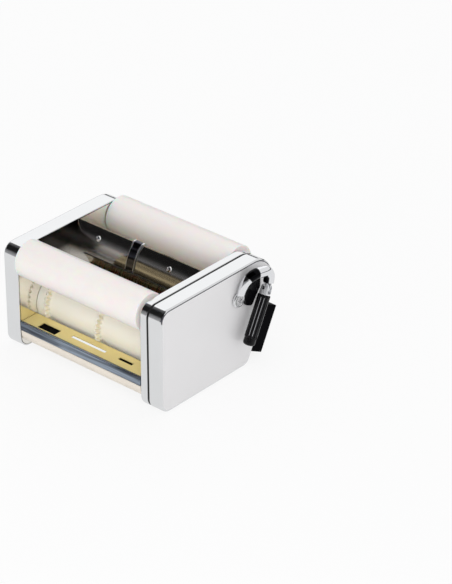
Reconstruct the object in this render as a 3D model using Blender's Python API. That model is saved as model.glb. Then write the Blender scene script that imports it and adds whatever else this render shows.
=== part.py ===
"""Ravioli-making unit of a hand-cranked pasta machine, built from separate pieces.

Metres, +Z up. Positions are worked out in a bench frame: x from the middle of the
clear width, y back from the front edge of the side frames, z up from the floor. One
shift then puts the origin under the middle of the whole unit.
"""
import math

import bmesh
import bpy
from mathutils import Matrix, Vector

# Side frames and covers
CLEAR_WIDTH = 0.1584
FRAME_DEPTH = 0.1605
FRAME_HEIGHT = 0.1107
BACK_RISE = 0.0407
FRONT_RADIUS = 0.012
BACK_TOP_RADIUS = 0.028
LEAN_RADIUS = 0.030
BACK_FOOT_RADIUS = 0.010
CORNER_STEPS = 6
LEAST_CORNER = 0.1
PLATE = 0.0015
FLANGE_DEPTH = 0.0092
SEAM_WIDTH = 0.0024
SEAM_INSET = 0.0003
GASKET_WIDTH = 0.0017
COVER_DEPTH = 0.0158
COVER_WALL = 0.0015
COVER_EDGE_RADIUS = 0.0024
CAP_DEPTH = 0.019
EDGE_STEPS = 3
GAP = 0.0003

# Forming rollers, their shafts and gears
FORMING_SPACING = 0.0572
NIP_GAP = 0.0002
FORMING_ABOVE_FLOOR = 0.0105
FORMING_FORWARD = 0.0007
POCKET_PITCH = 0.068
POCKET_DEPTH = 0.0045
POCKETS_ROUND = 3
RIDGE_WIDTH = 0.0030
RIDGE_SLOPE = 0.0022
MARGIN_DEPTH = 0.0012
STEPS_ROUND = 8
STEPS_ALONG = 3
SHAFT_RADIUS = 0.005
SHAFT_TAIL = 0.0035
GEAR_TEETH = 38
PINION_TEETH = 16
GEAR_WIDTH = 0.007
GEAR_STANDOFF = 0.003
ADDENDUM = 0.80
DEDENDUM = 1.15
TIP_SHARE = 0.22
ROOT_SHARE = 0.56
RETAINER_WIDTH = 0.0015
RETAINER_RADIUS = 0.0078

# Dough rollers
DOUGH_RADIUS = 0.0193
DOUGH_FROM_TOP = 0.0147
DOUGH_FROM_EDGE = 0.015
DOUGH_REAR_FORWARD = 0.0021
DOUGH_REAR_DROP = 0.0030
DOUGH_AXLE_RADIUS = 0.003
DOUGH_AXLE_TAIL = 0.006
DOUGH_EDGE_RADIUS = 0.0008
SIDE_FACETS = 48

# Bushes
BUSH_WALL = 0.0020
BUSH_FLANGE = 0.0018
BUSH_FLANGE_RADIUS = 0.0020
BUSH_FACETS = 24

# Hopper: places back from the front dough roller's axis, and heights above it
HOPPER_THICK = 0.0012
HOPPER_REAR_TOP = (0.0712, 0.0140)
HOPPER_REAR_BEND = (0.0595, 0.0050)
HOPPER_REAR_FOOT = 0.0550
HOPPER_FRONT_TOP = (0.0280, 0.0125)
HOPPER_FRONT_BEND = (0.0390, 0.0040)
HOPPER_FRONT_FOOT = 0.0440
HOPPER_ABOVE_ROLLERS = 0.0070
HOPPER_FRONT_LEFT = -0.034
HOPPER_FRONT_RIGHT = 0.072
HOPPER_CURVE_STEPS = 6
STRAP_WIDTH = 0.0105
STRAP_THICK = 0.0012
STRAP_STEPS = 5
STRAP_LIP = 0.0012
STRAP_OVER = 0.0005
RIVET_OFFSET = 0.0463
RIVET_SHARE = 0.27
RIVET_RADIUS = 0.0031
RIVET_HEIGHT = 0.0019
RIVET_SHANK = 0.0013
RIVET_DOME = ((0.6, 0.8), (1.0, 0.35))
SMALL_FACETS = 12
CUT_REACH = 0.004

# Rods and bars between the side frames
ROD_RADIUS = 0.0035
ROD_STEPS = 4
BAR_BELOW_AXIS = 0.0078
BAR_HEIGHT = 0.0100
BAR_THICK = 0.0030
BAR_FRONT = 0.0004
REAR_BAR_INSET = 0.0080
REAR_BAR_HEIGHT = 0.0055
REAR_BAR_CLEARANCE = 0.0010
GUARD_INSET = 0.0016
GUARD_THICK = 0.0012
GUARD_LOW = 0.0150
GUARD_BELOW_LEAN = 0.0060
PLATE_CLEARANCE = 0.0004
PLATE_THICK = 0.0012
SLOT_SHARE = 0.523
SLOT_DEPTH = 0.0040
SLOT_SIDE_OFFSET = 0.0485
SLOT_SIDE_WIDTH = 0.018
SLOT_MIDDLE_WIDTH = 0.045
SLOT_LEFT_WIDTH = 0.0235
SLOT_LEFT_DEPTH = 0.0100
SLOT_LEFT_INSET = 0.0010
STRIPPER_WIDTH = 0.026
STRIPPER_INSET = 0.0006
STRIPPER_DEPTH = 0.0134
STRIPPER_HEIGHT = 0.0070
STRIPPER_TOE = 0.0030
APRON_SET = 0.0006
APRON_FOOT = 0.0085
APRON_THICK = 0.0020
APRON_STRAIGHT = 0.0020
APRON_REACH = 0.0070
APRON_STEPS = 5

# Rear docking brackets
BRACKET_WIDTH = 0.0120
BRACKET_INSET = 0.0030
BRACKET_DEPTH = 0.0195
BRACKET_LOW = 0.0110
BRACKET_BELOW_LEAN = 0.0160
BRACKET_GROOVE = 0.0035
BRACKET_GROOVE_DEPTH = 0.0045
BRACKET_SCREW_SHARES = (0.20, 0.80)
BRACKET_SCREW_RADIUS = 0.0010
BRACKET_HEAD_RADIUS = 0.0017
BRACKET_HEAD = 0.0012
BRACKET_SCREW_TAIL = 0.0030

# Crank and folding grip: arm, grip and rest are placed from the hub's axis
HUB_RADIUS = 0.0078
HUB_PROUD = 0.0035
HUB_LIP = 0.0012
CRANK_SHAFT_RADIUS = 0.0045
ARM_RADIUS = 0.0054
ARM_ROOT_THICK = 0.0028
ARM_STANDOFF = 0.0100
ARM_ROOT_STANDOFF = 0.0034
ARM_RISE = (0.15, 0.0022, 0.0100)
ARM_SHOULDER = (0.45, 0.0062, 0.0192)
ARM_CROWN = (0.80, 0.0145, 0.0238)
ARM_BEND_SHARES = (0, 0.3, 0.65, 1)
ARM_BEND = 0.0100
ARM_STEPS = 3
ARM_FACETS = 16
GRIP_TOP = (0.0279, -0.0032)
GRIP_FOOT = (0.0044, -0.0489)
GRIP_RADIUS = 0.0064
GRIP_RIBS = 12
GRIP_RIB_DEPTH = 0.0006
GRIP_CAP_LENGTH = 0.0075
GRIP_CAP_SHARES = (0.93, 0.75)
GRIP_CAP_BEVEL = 0.0019
SPINDLE_IN_CAP = 0.0050
SPINDLE_RADIUS = 0.0025
KNUCKLE_RADIUS = 0.0054
KNUCKLE_REACH = 0.0066
SHOULDER_LENGTH = 0.0012
TONGUE_HALF = 0.0020
TONGUE_RADIUS = 0.0042
TONGUE_ANGLES = (0.55, 0.95, 1.35)
KNUCKLE_ANGLES = (1.35, 0.95, 0.55, 0.2)
KNUCKLE_SHARE = 0.97
COLLAR_RADIUS = 0.0056
PIN_RADIUS = 0.0014
REST_TOP_WIDTH = 0.0220
REST_FOOT_WIDTH = 0.0094
REST_LEFT_TOP = 0.0085
REST_RIGHT_TOP = 0.0135
REST_WAIST = 0.0030
REST_LEFT_FOOT = -0.0090
REST_RIGHT_FOOT = -0.0135
REST_RADIUS = 0.0022
REST_STEPS = 4
REST_LOW = 0.0010
REST_HIGH = 0.0032
SCREW_RADIUS = 0.0050
SCREW_HEAD = 0.0016
CROSS_LENGTH = 0.0056
CROSS_WIDTH = 0.0013
CROSS_DEPTH = 0.0008

# Places worked out from the sizes above
NEAR_PANEL = CLEAR_WIDTH / 2
FLANGE_END = NEAR_PANEL + FLANGE_DEPTH
COVER_START = FLANGE_END + SEAM_WIDTH
COVER_FACE = COVER_START + COVER_DEPTH
FAR_FACE = -NEAR_PANEL - CAP_DEPTH
MIDDLE_DEPTH = FRAME_DEPTH / 2 - FORMING_FORWARD
FORMING_RADIUS = (FORMING_SPACING - NIP_GAP) / 2
FORMING_HEIGHT = FORMING_RADIUS + FORMING_ABOVE_FLOOR
FORMING_FRONT = MIDDLE_DEPTH - FORMING_SPACING / 2
FORMING_REAR = MIDDLE_DEPTH + FORMING_SPACING / 2
DOUGH_FRONT = DOUGH_FROM_EDGE
DOUGH_REAR = 2 * MIDDLE_DEPTH - DOUGH_FROM_EDGE - DOUGH_REAR_FORWARD
DOUGH_HEIGHT = FRAME_HEIGHT - DOUGH_FROM_TOP
DOUGH_REAR_HEIGHT = DOUGH_HEIGHT - DOUGH_REAR_DROP
DOUGH_AXES = {"front": (DOUGH_FRONT, DOUGH_HEIGHT), "rear": (DOUGH_REAR, DOUGH_REAR_HEIGHT)}
HOPPER_FOOT = FORMING_HEIGHT + FORMING_RADIUS + HOPPER_ABOVE_ROLLERS
BAR_TOP = FORMING_HEIGHT - BAR_BELOW_AXIS
MODULE = FORMING_SPACING / GEAR_TEETH
CRANK_REACH = MODULE * (GEAR_TEETH + PINION_TEETH) / 2
CRANK_PLACE = FORMING_REAR
CRANK_HEIGHT = FORMING_HEIGHT + CRANK_REACH
CRANK_CENTRE = (CRANK_PLACE, CRANK_HEIGHT)
GRIP_CENTRE = COVER_FACE + ARM_STANDOFF
GRIP_LINE = Vector((0, GRIP_FOOT[0] - GRIP_TOP[0], GRIP_FOOT[1] - GRIP_TOP[1])).normalized()
FOLD_AXIS = GRIP_LINE.cross(Vector((1, 0, 0)))
GRIP_START = Vector((GRIP_CENTRE, CRANK_PLACE + GRIP_TOP[0], CRANK_HEIGHT + GRIP_TOP[1]))
FOLD_POINT = GRIP_START - GRIP_LINE * KNUCKLE_REACH
REST_LEFT = CRANK_PLACE + HUB_RADIUS + GAP
REST_CORNERS = (
    (REST_LEFT, CRANK_HEIGHT + REST_LEFT_TOP),
    (REST_LEFT, CRANK_HEIGHT + REST_LEFT_FOOT),
    (REST_LEFT + REST_FOOT_WIDTH, CRANK_HEIGHT + REST_RIGHT_FOOT),
    (REST_LEFT + REST_TOP_WIDTH, CRANK_HEIGHT + REST_WAIST),
    (REST_LEFT + REST_TOP_WIDTH, CRANK_HEIGHT + REST_RIGHT_TOP),
)

# The back edge leans so that its wall and seam just clear the rear gear
GEAR_TIP = MODULE * (GEAR_TEETH / 2 + ADDENDUM)
LEAN_START = FRAME_HEIGHT - BACK_RISE
LEAN_REACH = GEAR_TIP + SEAM_INSET + GASKET_WIDTH + GAP
TO_LEAN = Vector((FRAME_DEPTH - FORMING_REAR, LEAN_START - FORMING_HEIGHT))
LEAN_ANGLE = math.acos(LEAN_REACH / TO_LEAN.length) - math.atan2(TO_LEAN.y, TO_LEAN.x)
LEAN_FOOT = LEAN_START * math.tan(LEAN_ANGLE)
BRACKET_HIGH = LEAN_START - BRACKET_BELOW_LEAN
GUARD_HIGH = LEAN_START - GUARD_BELOW_LEAN
OUTLINE_CORNERS = (
    ((0.0, 0.0), FRONT_RADIUS),
    ((FRAME_DEPTH - LEAN_FOOT, 0.0), BACK_FOOT_RADIUS),
    ((FRAME_DEPTH, LEAN_START), LEAN_RADIUS),
    ((FRAME_DEPTH, FRAME_HEIGHT), BACK_TOP_RADIUS),
    ((0.0, FRAME_HEIGHT), FRONT_RADIUS),
)
LEAN = Vector((0, LEAN_FOOT, LEAN_START)).normalized()
LEAN_OUT = Vector((0, LEAN.z, -LEAN.y))

# The whole unit's limits, and the shift that centres it
LOW_X = FAR_FACE
HIGH_X = GRIP_CENTRE + GRIP_RADIUS
LOW_Y = DOUGH_FRONT - DOUGH_RADIUS
BRACKET_TOP_EDGE = FRAME_DEPTH - LEAN_FOOT * (LEAN_START - BRACKET_HIGH) / LEAN_START
HIGH_Y = max(DOUGH_REAR + DOUGH_RADIUS, BRACKET_TOP_EDGE + (BRACKET_DEPTH + GAP) * LEAN.z)
SHIFT = Vector((-(LOW_X + HIGH_X) / 2, -(LOW_Y + HIGH_Y) / 2, 0))

# Colours: name, red, green, blue, metallic, roughness
CHROME = ("chrome", (0.80, 0.80, 0.82), 1.0, 0.12)
STEEL = ("steel", (0.62, 0.63, 0.65), 1.0, 0.30)
WHITE_PLASTIC = ("white_plastic", (0.86, 0.82, 0.80), 0.0, 0.40)
CREAM_PLASTIC = ("cream_plastic", (0.87, 0.82, 0.66), 0.0, 0.42)
BLACK_PLASTIC = ("black_plastic", (0.02, 0.02, 0.022), 0.0, 0.35)
BRASS = ("brass", (0.72, 0.52, 0.16), 1.0, 0.30)
RUBBER = ("rubber", (0.03, 0.03, 0.03), 0.0, 0.70)


# Collections and materials
for old in list(bpy.data.objects):
    bpy.data.objects.remove(old, do_unlink=True)
parts = bpy.data.collections.new("pasta_machine")
cutters = bpy.data.collections.new("cutters")
bpy.context.scene.collection.children.link(parts)
bpy.context.scene.collection.children.link(cutters)


def add_material(name, finish):
    """Give a piece a Principled material of its own."""
    material = bpy.data.materials.new(name)
    material.use_nodes = True
    shader = material.node_tree.nodes["Principled BSDF"]
    shader.inputs["Base Color"].default_value = (*finish[1], 1)
    shader.inputs["Metallic"].default_value = finish[2]
    shader.inputs["Roughness"].default_value = finish[3]
    material.diffuse_color = (*finish[1], 1)
    return material


def add_object(name, bm, finish, pivot=(0, 0, 0), smooth=False):
    """Turn a bench-frame mesh into a named piece whose origin is the pivot."""
    bmesh.ops.remove_doubles(bm, verts=bm.verts, dist=1e-7)
    bmesh.ops.recalc_face_normals(bm, faces=bm.faces)
    bmesh.ops.translate(bm, verts=bm.verts, vec=-Vector(pivot))
    mesh = bpy.data.meshes.new(name)
    bm.to_mesh(mesh)
    bm.free()
    for face in mesh.polygons:
        face.use_smooth = smooth and len(face.vertices) <= 4
    mesh.materials.append(add_material(name + "_finish", finish))
    piece = bpy.data.objects.new(name, mesh)
    piece.location = Vector(pivot) + (SHIFT if any(pivot) else Vector())
    if not any(pivot):
        mesh.transform(Matrix.Translation(SHIFT))
    parts.objects.link(piece)
    return piece


def cut(piece, bm, name):
    """Take a bench-frame solid out of a piece with an exact boolean."""
    bmesh.ops.recalc_face_normals(bm, faces=bm.faces)
    mesh = bpy.data.meshes.new(name)
    bm.to_mesh(mesh)
    bm.free()
    cutter = bpy.data.objects.new(name, mesh)
    cutter.location = SHIFT
    cutter.hide_render = True
    cutter.display_type = "WIRE"
    cutters.objects.link(cutter)
    difference = piece.modifiers.new(name, "BOOLEAN")
    difference.operation = "DIFFERENCE"
    difference.solver = "EXACT"
    difference.object = cutter


# Solids from rings of points
def loft(rings, closed=False):
    """Join rings of equal length; cap the ends unless the rings close on themselves."""
    bm = bmesh.new()
    made = [[bm.verts.new(point) for point in ring] for ring in rings]
    count = len(made[0])
    pairs = list(zip(made, made[1:]))
    if closed:
        pairs.append((made[-1], made[0]))
    for first, second in pairs:
        for k in range(count):
            n = (k + 1) % count
            bm.faces.new((first[k], first[n], second[n], second[k]))
    if not closed:
        bm.faces.new(made[0])
        bm.faces.new(made[-1])
    return bm


def circle(x, centre, radius, facets, start=0.0):
    """Points round an axis along x; a radius may be a function of the angle."""
    points = []
    for k in range(facets):
        angle = start + 2 * math.pi * k / facets
        r = radius(angle) if callable(radius) else radius
        points.append(Vector((x, centre[0] + r * math.cos(angle), centre[1] + r * math.sin(angle))))
    return points


def turned(stations, centre, facets, bore=None):
    """A piece turned about an axis along x, from (x, radius) stations."""
    rings = [circle(x, centre, radius, facets) for x, radius in stations]
    if bore:
        rings.append(circle(stations[-1][0], centre, bore, facets))
        rings.append(circle(stations[0][0], centre, bore, facets))
    return loft(rings, closed=bool(bore))


def block(low, high):
    """A plain box between two corners."""
    bm = bmesh.new()
    bmesh.ops.create_cube(bm, size=1)
    for vert in bm.verts:
        for axis in range(3):
            vert.co[axis] = high[axis] if vert.co[axis] > 0 else low[axis]
    return bm


def outline(inset):
    """The side frames' outline in (y, z), moved inwards by an inset."""
    corners = [Vector(corner) for corner, _ in OUTLINE_CORNERS]
    count = len(corners)
    points = []
    for k, (_, radius) in enumerate(OUTLINE_CORNERS):
        before = (corners[k] - corners[k - 1]).normalized()
        after = (corners[(k + 1) % count] - corners[k]).normalized()
        normal_before = Vector((-before.y, before.x))
        normal_after = Vector((-after.y, after.x))
        half_turn = (math.atan2(before.cross(after), before.dot(after))) / 2
        inward = (normal_before + normal_after).normalized()
        centre = corners[k] + inward * (radius / math.cos(half_turn))
        small = max(radius - inset, radius * LEAST_CORNER)
        centre = centre + inward * ((small - radius + inset) / math.cos(half_turn))
        first = math.atan2(-normal_before.y, -normal_before.x)
        for step in range(CORNER_STEPS + 1):
            angle = first + 2 * half_turn * step / CORNER_STEPS
            points.append(centre + small * Vector((math.cos(angle), math.sin(angle))))
    return points


def outline_ring(x, inset):
    """The frame outline as a ring of points at x."""
    return [Vector((x, point.x, point.y)) for point in outline(inset)]


def pressed_shell(open_x, face_x, wall, edge):
    """A pressed box open at open_x, with a rounded edge round its face."""
    out = 1 if face_x > open_x else -1
    rings = [outline_ring(face_x - out * wall, edge), outline_ring(face_x - out * edge, wall)]
    rings.append(outline_ring(open_x, wall))
    rings.append(outline_ring(open_x, 0))
    for step in range(EDGE_STEPS + 1):
        angle = math.pi / 2 * step / EDGE_STEPS
        x = face_x - out * edge * (1 - math.sin(angle))
        rings.append(outline_ring(x, edge * (1 - math.cos(angle))))
    return loft(rings)


def curve_points(top, bend, foot, steps):
    """A smooth run from top to foot, pulled towards bend."""
    points = []
    for step in range(steps + 1):
        t = step / steps
        a, b, c = (1 - t) ** 2, 2 * t * (1 - t), t ** 2
        points.append(Vector(top) * a + Vector(bend) * b + Vector(foot) * c)
    return points


def offset_points(points, distance):
    """Move a run of points sideways by a distance."""
    moved = []
    for k, point in enumerate(points):
        along = (points[min(k + 1, len(points) - 1)] - points[max(k - 1, 0)]).normalized()
        moved.append(point + Vector((-along.y, along.x)) * distance)
    return moved


def sheet(points, thickness, low_x, high_x):
    """A bent sheet: a run of (y, z) points given a thickness and a width."""
    section = points + list(reversed(offset_points(points, thickness)))
    rings = [[Vector((x, p.x, p.y)) for p in section] for x in (low_x, high_x)]
    return loft(rings)


def along_line(start, line, side, stations, facets, shape=None):
    """A piece turned about a slanted axis, from (distance, radius) stations."""
    across = line.cross(side)
    rings = []
    for distance, radius in stations:
        ring = []
        for k in range(facets):
            angle = 2 * math.pi * k / facets
            r = radius + (shape(k) if shape else 0)
            ring.append(start + line * distance + (side * math.cos(angle) + across * math.sin(angle)) * r)
        rings.append(ring)
    return rings


# Side frames, covers and the seam between them
def build_housing():
    """A closed box on the far side, and a flanged frame, seam and gear cover on the near one."""
    hole_centres = [
        ((FORMING_FRONT, FORMING_HEIGHT), SHAFT_RADIUS + GAP + BUSH_WALL + GAP),
        ((FORMING_REAR, FORMING_HEIGHT), SHAFT_RADIUS + GAP + BUSH_WALL + GAP),
        (DOUGH_AXES["front"], DOUGH_AXLE_RADIUS + GAP + BUSH_WALL + GAP),
        (DOUGH_AXES["rear"], DOUGH_AXLE_RADIUS + GAP + BUSH_WALL + GAP),
    ]
    inset = COVER_WALL + GAP
    left = loft([outline_ring(-NEAR_PANEL - PLATE, inset), outline_ring(-NEAR_PANEL, inset)])
    left = add_object("frame_plate_left", left, CHROME)
    right = pressed_shell(FLANGE_END, NEAR_PANEL, PLATE, COVER_EDGE_RADIUS)
    right = add_object("frame_plate_right", right, CHROME)
    for side, plate, x in (("left", left, -NEAR_PANEL), ("right", right, NEAR_PANEL)):
        for number, (centre, radius) in enumerate(hole_centres):
            hole = turned([(x - 2 * PLATE, radius), (x + 2 * PLATE, radius)], centre, BUSH_FACETS)
            cut(plate, hole, f"hole_{side}_{number}")
    crank_bore = CRANK_SHAFT_RADIUS + GAP + BUSH_WALL + GAP
    cut(right, turned([(NEAR_PANEL - PLATE, crank_bore), (NEAR_PANEL + 2 * PLATE, crank_bore)],
                      CRANK_CENTRE, BUSH_FACETS), "hole_crank_frame")
    cap = pressed_shell(-NEAR_PANEL, FAR_FACE, COVER_WALL, COVER_EDGE_RADIUS)
    add_object("cap_left", cap, CHROME)
    cover = pressed_shell(COVER_START, COVER_FACE, COVER_WALL, COVER_EDGE_RADIUS)
    cover = add_object("cover_right", cover, CHROME)
    cut(cover, turned([(COVER_FACE - 2 * COVER_WALL, crank_bore), (COVER_FACE + COVER_WALL, crank_bore)],
                      CRANK_CENTRE, BUSH_FACETS), "hole_crank_cover")
    low, high = FLANGE_END + GAP, COVER_START - GAP
    inner = SEAM_INSET + GASKET_WIDTH
    gasket = loft([outline_ring(low, SEAM_INSET), outline_ring(high, SEAM_INSET),
                   outline_ring(high, inner), outline_ring(low, inner)], closed=True)
    add_object("cover_gasket", gasket, RUBBER)


# Flanged bushes
def build_bush(name, shaft_radius, centre, face_x, inward, wall_thickness):
    """A bush in a wall: a sleeve through it, and a flange on the side that inward points to."""
    bore = shaft_radius + GAP
    sleeve = bore + BUSH_WALL
    flange = sleeve + BUSH_FLANGE_RADIUS
    back = face_x - inward * wall_thickness
    near = face_x + inward * GAP
    stations = [(back, sleeve), (near, sleeve), (near, flange), (near + inward * BUSH_FLANGE, flange)]
    add_object(name, turned(stations, centre, BUSH_FACETS, bore), STEEL)


def build_bushes():
    """Every bush, on both frames and in the gear cover."""
    # Flanges point into the side boxes, so the clear width stays clear
    outer_left = -NEAR_PANEL - PLATE
    outer_right = NEAR_PANEL + PLATE
    for end, y in (("front", FORMING_FRONT), ("rear", FORMING_REAR)):
        centre = (y, FORMING_HEIGHT)
        build_bush(f"forming_bush_{end}_left", SHAFT_RADIUS, centre, outer_left, -1, PLATE)
        build_bush(f"forming_bush_{end}_right", SHAFT_RADIUS, centre, outer_right, 1, PLATE)
    for end, centre in DOUGH_AXES.items():
        build_bush(f"dough_bush_{end}_left", DOUGH_AXLE_RADIUS, centre, outer_left, -1, PLATE)
        build_bush(f"dough_bush_{end}_right", DOUGH_AXLE_RADIUS, centre, outer_right, 1, PLATE)
    build_bush("crank_bush_frame", CRANK_SHAFT_RADIUS, CRANK_CENTRE, outer_right, 1, PLATE)
    build_bush("crank_bush_cover", CRANK_SHAFT_RADIUS, CRANK_CENTRE, COVER_FACE - COVER_WALL, -1, COVER_WALL)


# Gears
def gear_ring(x, centre, teeth, phase, bore=None):
    """Points round a gear at x, four to a tooth; phase is the angle of one tooth's middle."""
    pitch_radius = MODULE * teeth / 2
    tip = pitch_radius + ADDENDUM * MODULE
    root = pitch_radius - DEDENDUM * MODULE
    step = 2 * math.pi / teeth
    points = []
    for tooth in range(teeth):
        middle = phase + tooth * step
        for share, radius in ((-ROOT_SHARE / 2, root), (-TIP_SHARE / 2, tip),
                              (TIP_SHARE / 2, tip), (ROOT_SHARE / 2, root)):
            angle = middle + share * step
            r = bore or radius
            points.append(Vector((x, centre[0] + r * math.cos(angle), centre[1] + r * math.sin(angle))))
    return points


def build_gear(name, centre, teeth, phase, low_x, high_x, bore):
    """A bored spur gear between two places along its axis."""
    rings = [gear_ring(low_x, centre, teeth, phase), gear_ring(high_x, centre, teeth, phase),
             gear_ring(high_x, centre, teeth, phase, bore), gear_ring(low_x, centre, teeth, phase, bore)]
    add_object(name, loft(rings, closed=True), STEEL, (low_x, *centre))


def gear_phases():
    """Tooth angles that leave the front gear, rear gear and pinion in mesh at rest."""
    step = 2 * math.pi / GEAR_TEETH
    front = 0.0
    rear = math.pi + step / 2
    towards_pinion = math.atan2(CRANK_CENTRE[1] - FORMING_HEIGHT, CRANK_CENTRE[0] - FORMING_REAR)
    lead = (rear - towards_pinion) % step
    gap_angle = towards_pinion + math.pi - lead * GEAR_TEETH / PINION_TEETH
    pinion = gap_angle + math.pi / PINION_TEETH
    return front, rear, pinion


# Forming rollers
def pocket_stations(length, steps):
    """Places along one pocket, from the middle of a ridge to the next ridge's near edge."""
    foot = RIDGE_WIDTH / 2 + RIDGE_SLOPE
    floor = [foot + (length - 2 * foot) * k / steps for k in range(steps + 1)]
    return [0, RIDGE_WIDTH / 2, *floor, length - RIDGE_WIDTH / 2]


def build_forming_roller(name, centre, turn):
    """A roller with two rows of pockets round it, and a ridge round each pocket."""
    end = NEAR_PANEL - GAP
    margin = FORMING_RADIUS - MARGIN_DEPTH
    floor = FORMING_RADIUS - POCKET_DEPTH
    arc = 2 * math.pi / POCKETS_ROUND
    arc_length = arc * FORMING_RADIUS
    along = []
    for column in (-1, 0):
        for offset in pocket_stations(POCKET_PITCH, STEPS_ALONG):
            low = offset > RIDGE_WIDTH / 2 and offset < POCKET_PITCH - RIDGE_WIDTH / 2
            along.append((column * POCKET_PITCH + offset, low))
    along.append((POCKET_PITCH, False))
    edge = POCKET_PITCH + RIDGE_WIDTH / 2
    stations = [(-end, None), (-edge - MARGIN_DEPTH, None), (-edge, False)]
    stations += along + [(edge, False), (edge + MARGIN_DEPTH, None), (end, None)]
    angles = []
    for pocket in range(POCKETS_ROUND):
        start = turn + pocket * arc
        for offset in pocket_stations(arc_length, STEPS_ROUND):
            low = offset > RIDGE_WIDTH / 2 and offset < arc_length - RIDGE_WIDTH / 2
            angles.append((start + offset / FORMING_RADIUS, low))
    rings = []
    axis = Vector((0, *centre))
    for x, low_here in stations:
        ring = []
        for angle, low_round in angles:
            radius = margin if low_here is None else FORMING_RADIUS
            if low_here and low_round:
                radius = floor
            ring.append(axis + Vector((x, radius * math.cos(angle), radius * math.sin(angle))))
        rings.append(ring)
    bore = SHAFT_RADIUS + GAP
    for x in (end, -end):
        rings.append([axis + Vector((x, bore * math.cos(a), bore * math.sin(a))) for a, _ in angles])
    add_object(name, loft(rings, closed=True), CREAM_PLASTIC, (0, *centre), smooth=True)


def build_forming_set(end, y, gear_phase, turn):
    """A forming roller with its shaft, gear and retainers; gives the gear's two ends."""
    centre = (y, FORMING_HEIGHT)
    build_forming_roller(f"forming_roller_{end}", centre, turn)
    bush_end = NEAR_PANEL + PLATE + GAP + BUSH_FLANGE
    gear_low = bush_end + GEAR_STANDOFF
    gear_high = gear_low + GEAR_WIDTH
    tail = gear_high + 2 * GAP + RETAINER_WIDTH + SHAFT_TAIL
    far = -bush_end - 2 * GAP - RETAINER_WIDTH - SHAFT_TAIL
    shaft = turned([(far, SHAFT_RADIUS), (tail, SHAFT_RADIUS)], centre, BUSH_FACETS)
    add_object(f"forming_shaft_{end}", shaft, STEEL, (0, *centre))
    bore = SHAFT_RADIUS + GAP
    build_gear(f"forming_gear_{end}", centre, GEAR_TEETH, gear_phase, gear_low, gear_high, bore)
    for side, low in (("right", gear_high + GAP), ("left", -bush_end - GAP - RETAINER_WIDTH)):
        ends = [(low, RETAINER_RADIUS), (low + RETAINER_WIDTH, RETAINER_RADIUS)]
        ring = turned(ends, centre, BUSH_FACETS, bore)
        add_object(f"forming_retainer_{end}_{side}", ring, STEEL, (low, *centre))
    return gear_low, gear_high


# Dough rollers
def build_dough_roller(end, centre):
    """A smooth roller on its axle."""
    half = NEAR_PANEL - GAP
    soft = DOUGH_EDGE_RADIUS
    stations = [(-half, DOUGH_RADIUS - soft), (-half + soft, DOUGH_RADIUS),
                (half - soft, DOUGH_RADIUS), (half, DOUGH_RADIUS - soft)]
    roller = turned(stations, centre, SIDE_FACETS, DOUGH_AXLE_RADIUS + GAP)
    add_object(f"dough_roller_{end}", roller, WHITE_PLASTIC, (0, *centre), smooth=True)
    reach = NEAR_PANEL + PLATE + GAP + BUSH_FLANGE + DOUGH_AXLE_TAIL
    axle = turned([(-reach, DOUGH_AXLE_RADIUS), (reach, DOUGH_AXLE_RADIUS)], centre, BUSH_FACETS)
    add_object(f"dough_axle_{end}", axle, STEEL, (0, *centre))


# Hopper walls, strap and rivets
def hopper_run(top, bend, foot):
    """One hopper wall's (y, z) points, from its top edge down to the throat."""
    start = Vector((DOUGH_FRONT, DOUGH_HEIGHT))
    return curve_points(start + Vector(top), start + Vector(bend), (DOUGH_FRONT + foot, HOPPER_FOOT),
                        HOPPER_CURVE_STEPS)


def build_hopper():
    """Two bent walls, the strap over the rear one's top edge, and two rivets."""
    half = NEAR_PANEL - GAP
    rear = hopper_run(HOPPER_REAR_TOP, HOPPER_REAR_BEND, HOPPER_REAR_FOOT)
    front = hopper_run(HOPPER_FRONT_TOP, HOPPER_FRONT_BEND, HOPPER_FRONT_FOOT)
    wall = add_object("hopper_wall_rear", sheet(rear, HOPPER_THICK, -half, half), CHROME)
    narrow = sheet(front, -HOPPER_THICK, HOPPER_FRONT_LEFT, HOPPER_FRONT_RIGHT)
    add_object("hopper_wall_front", narrow, CHROME)
    face = offset_points(rear, -GAP)
    over_y = rear[0].x + HOPPER_THICK + 2 * GAP
    over_z = rear[0].y + STRAP_OVER
    run = [Vector((over_y + STRAP_LIP, over_z)), Vector((face[0].x, over_z))] + face[1:STRAP_STEPS + 1]
    add_object("hopper_strap", sheet(run, -STRAP_THICK, -STRAP_WIDTH / 2, STRAP_WIDTH / 2), CHROME)
    length = sum((b - a).length for a, b in zip(rear, rear[1:]))
    rest = RIVET_SHARE * length
    for a, b in zip(rear, rear[1:]):
        piece = (b - a).length
        if rest <= piece:
            place = a.lerp(b, rest / piece)
            along = (b - a).normalized()
            break
        rest -= piece
    out = Vector((0, along.y, -along.x))
    start = Vector((0, place.x, place.y))
    for side, x in (("left", -RIVET_OFFSET), ("right", RIVET_OFFSET)):
        base = start + Vector((x, 0, 0))
        stations = [(-HOPPER_THICK - GAP, RIVET_SHANK), (GAP, RIVET_SHANK), (GAP, RIVET_RADIUS)]
        stations += [(GAP + RIVET_HEIGHT * up, RIVET_RADIUS * wide) for up, wide in RIVET_DOME]
        rings = along_line(base, out, Vector((1, 0, 0)), stations, SMALL_FACETS)
        add_object(f"hopper_rivet_{side}", loft(rings), STEEL)
        bore = RIVET_SHANK + GAP
        path = [(-CUT_REACH, bore), (CUT_REACH, bore)]
        cutter = loft(along_line(base, out, Vector((1, 0, 0)), path, SMALL_FACETS))
        cut(wall, cutter, f"rivet_hole_{side}")
    return rear, front


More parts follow.
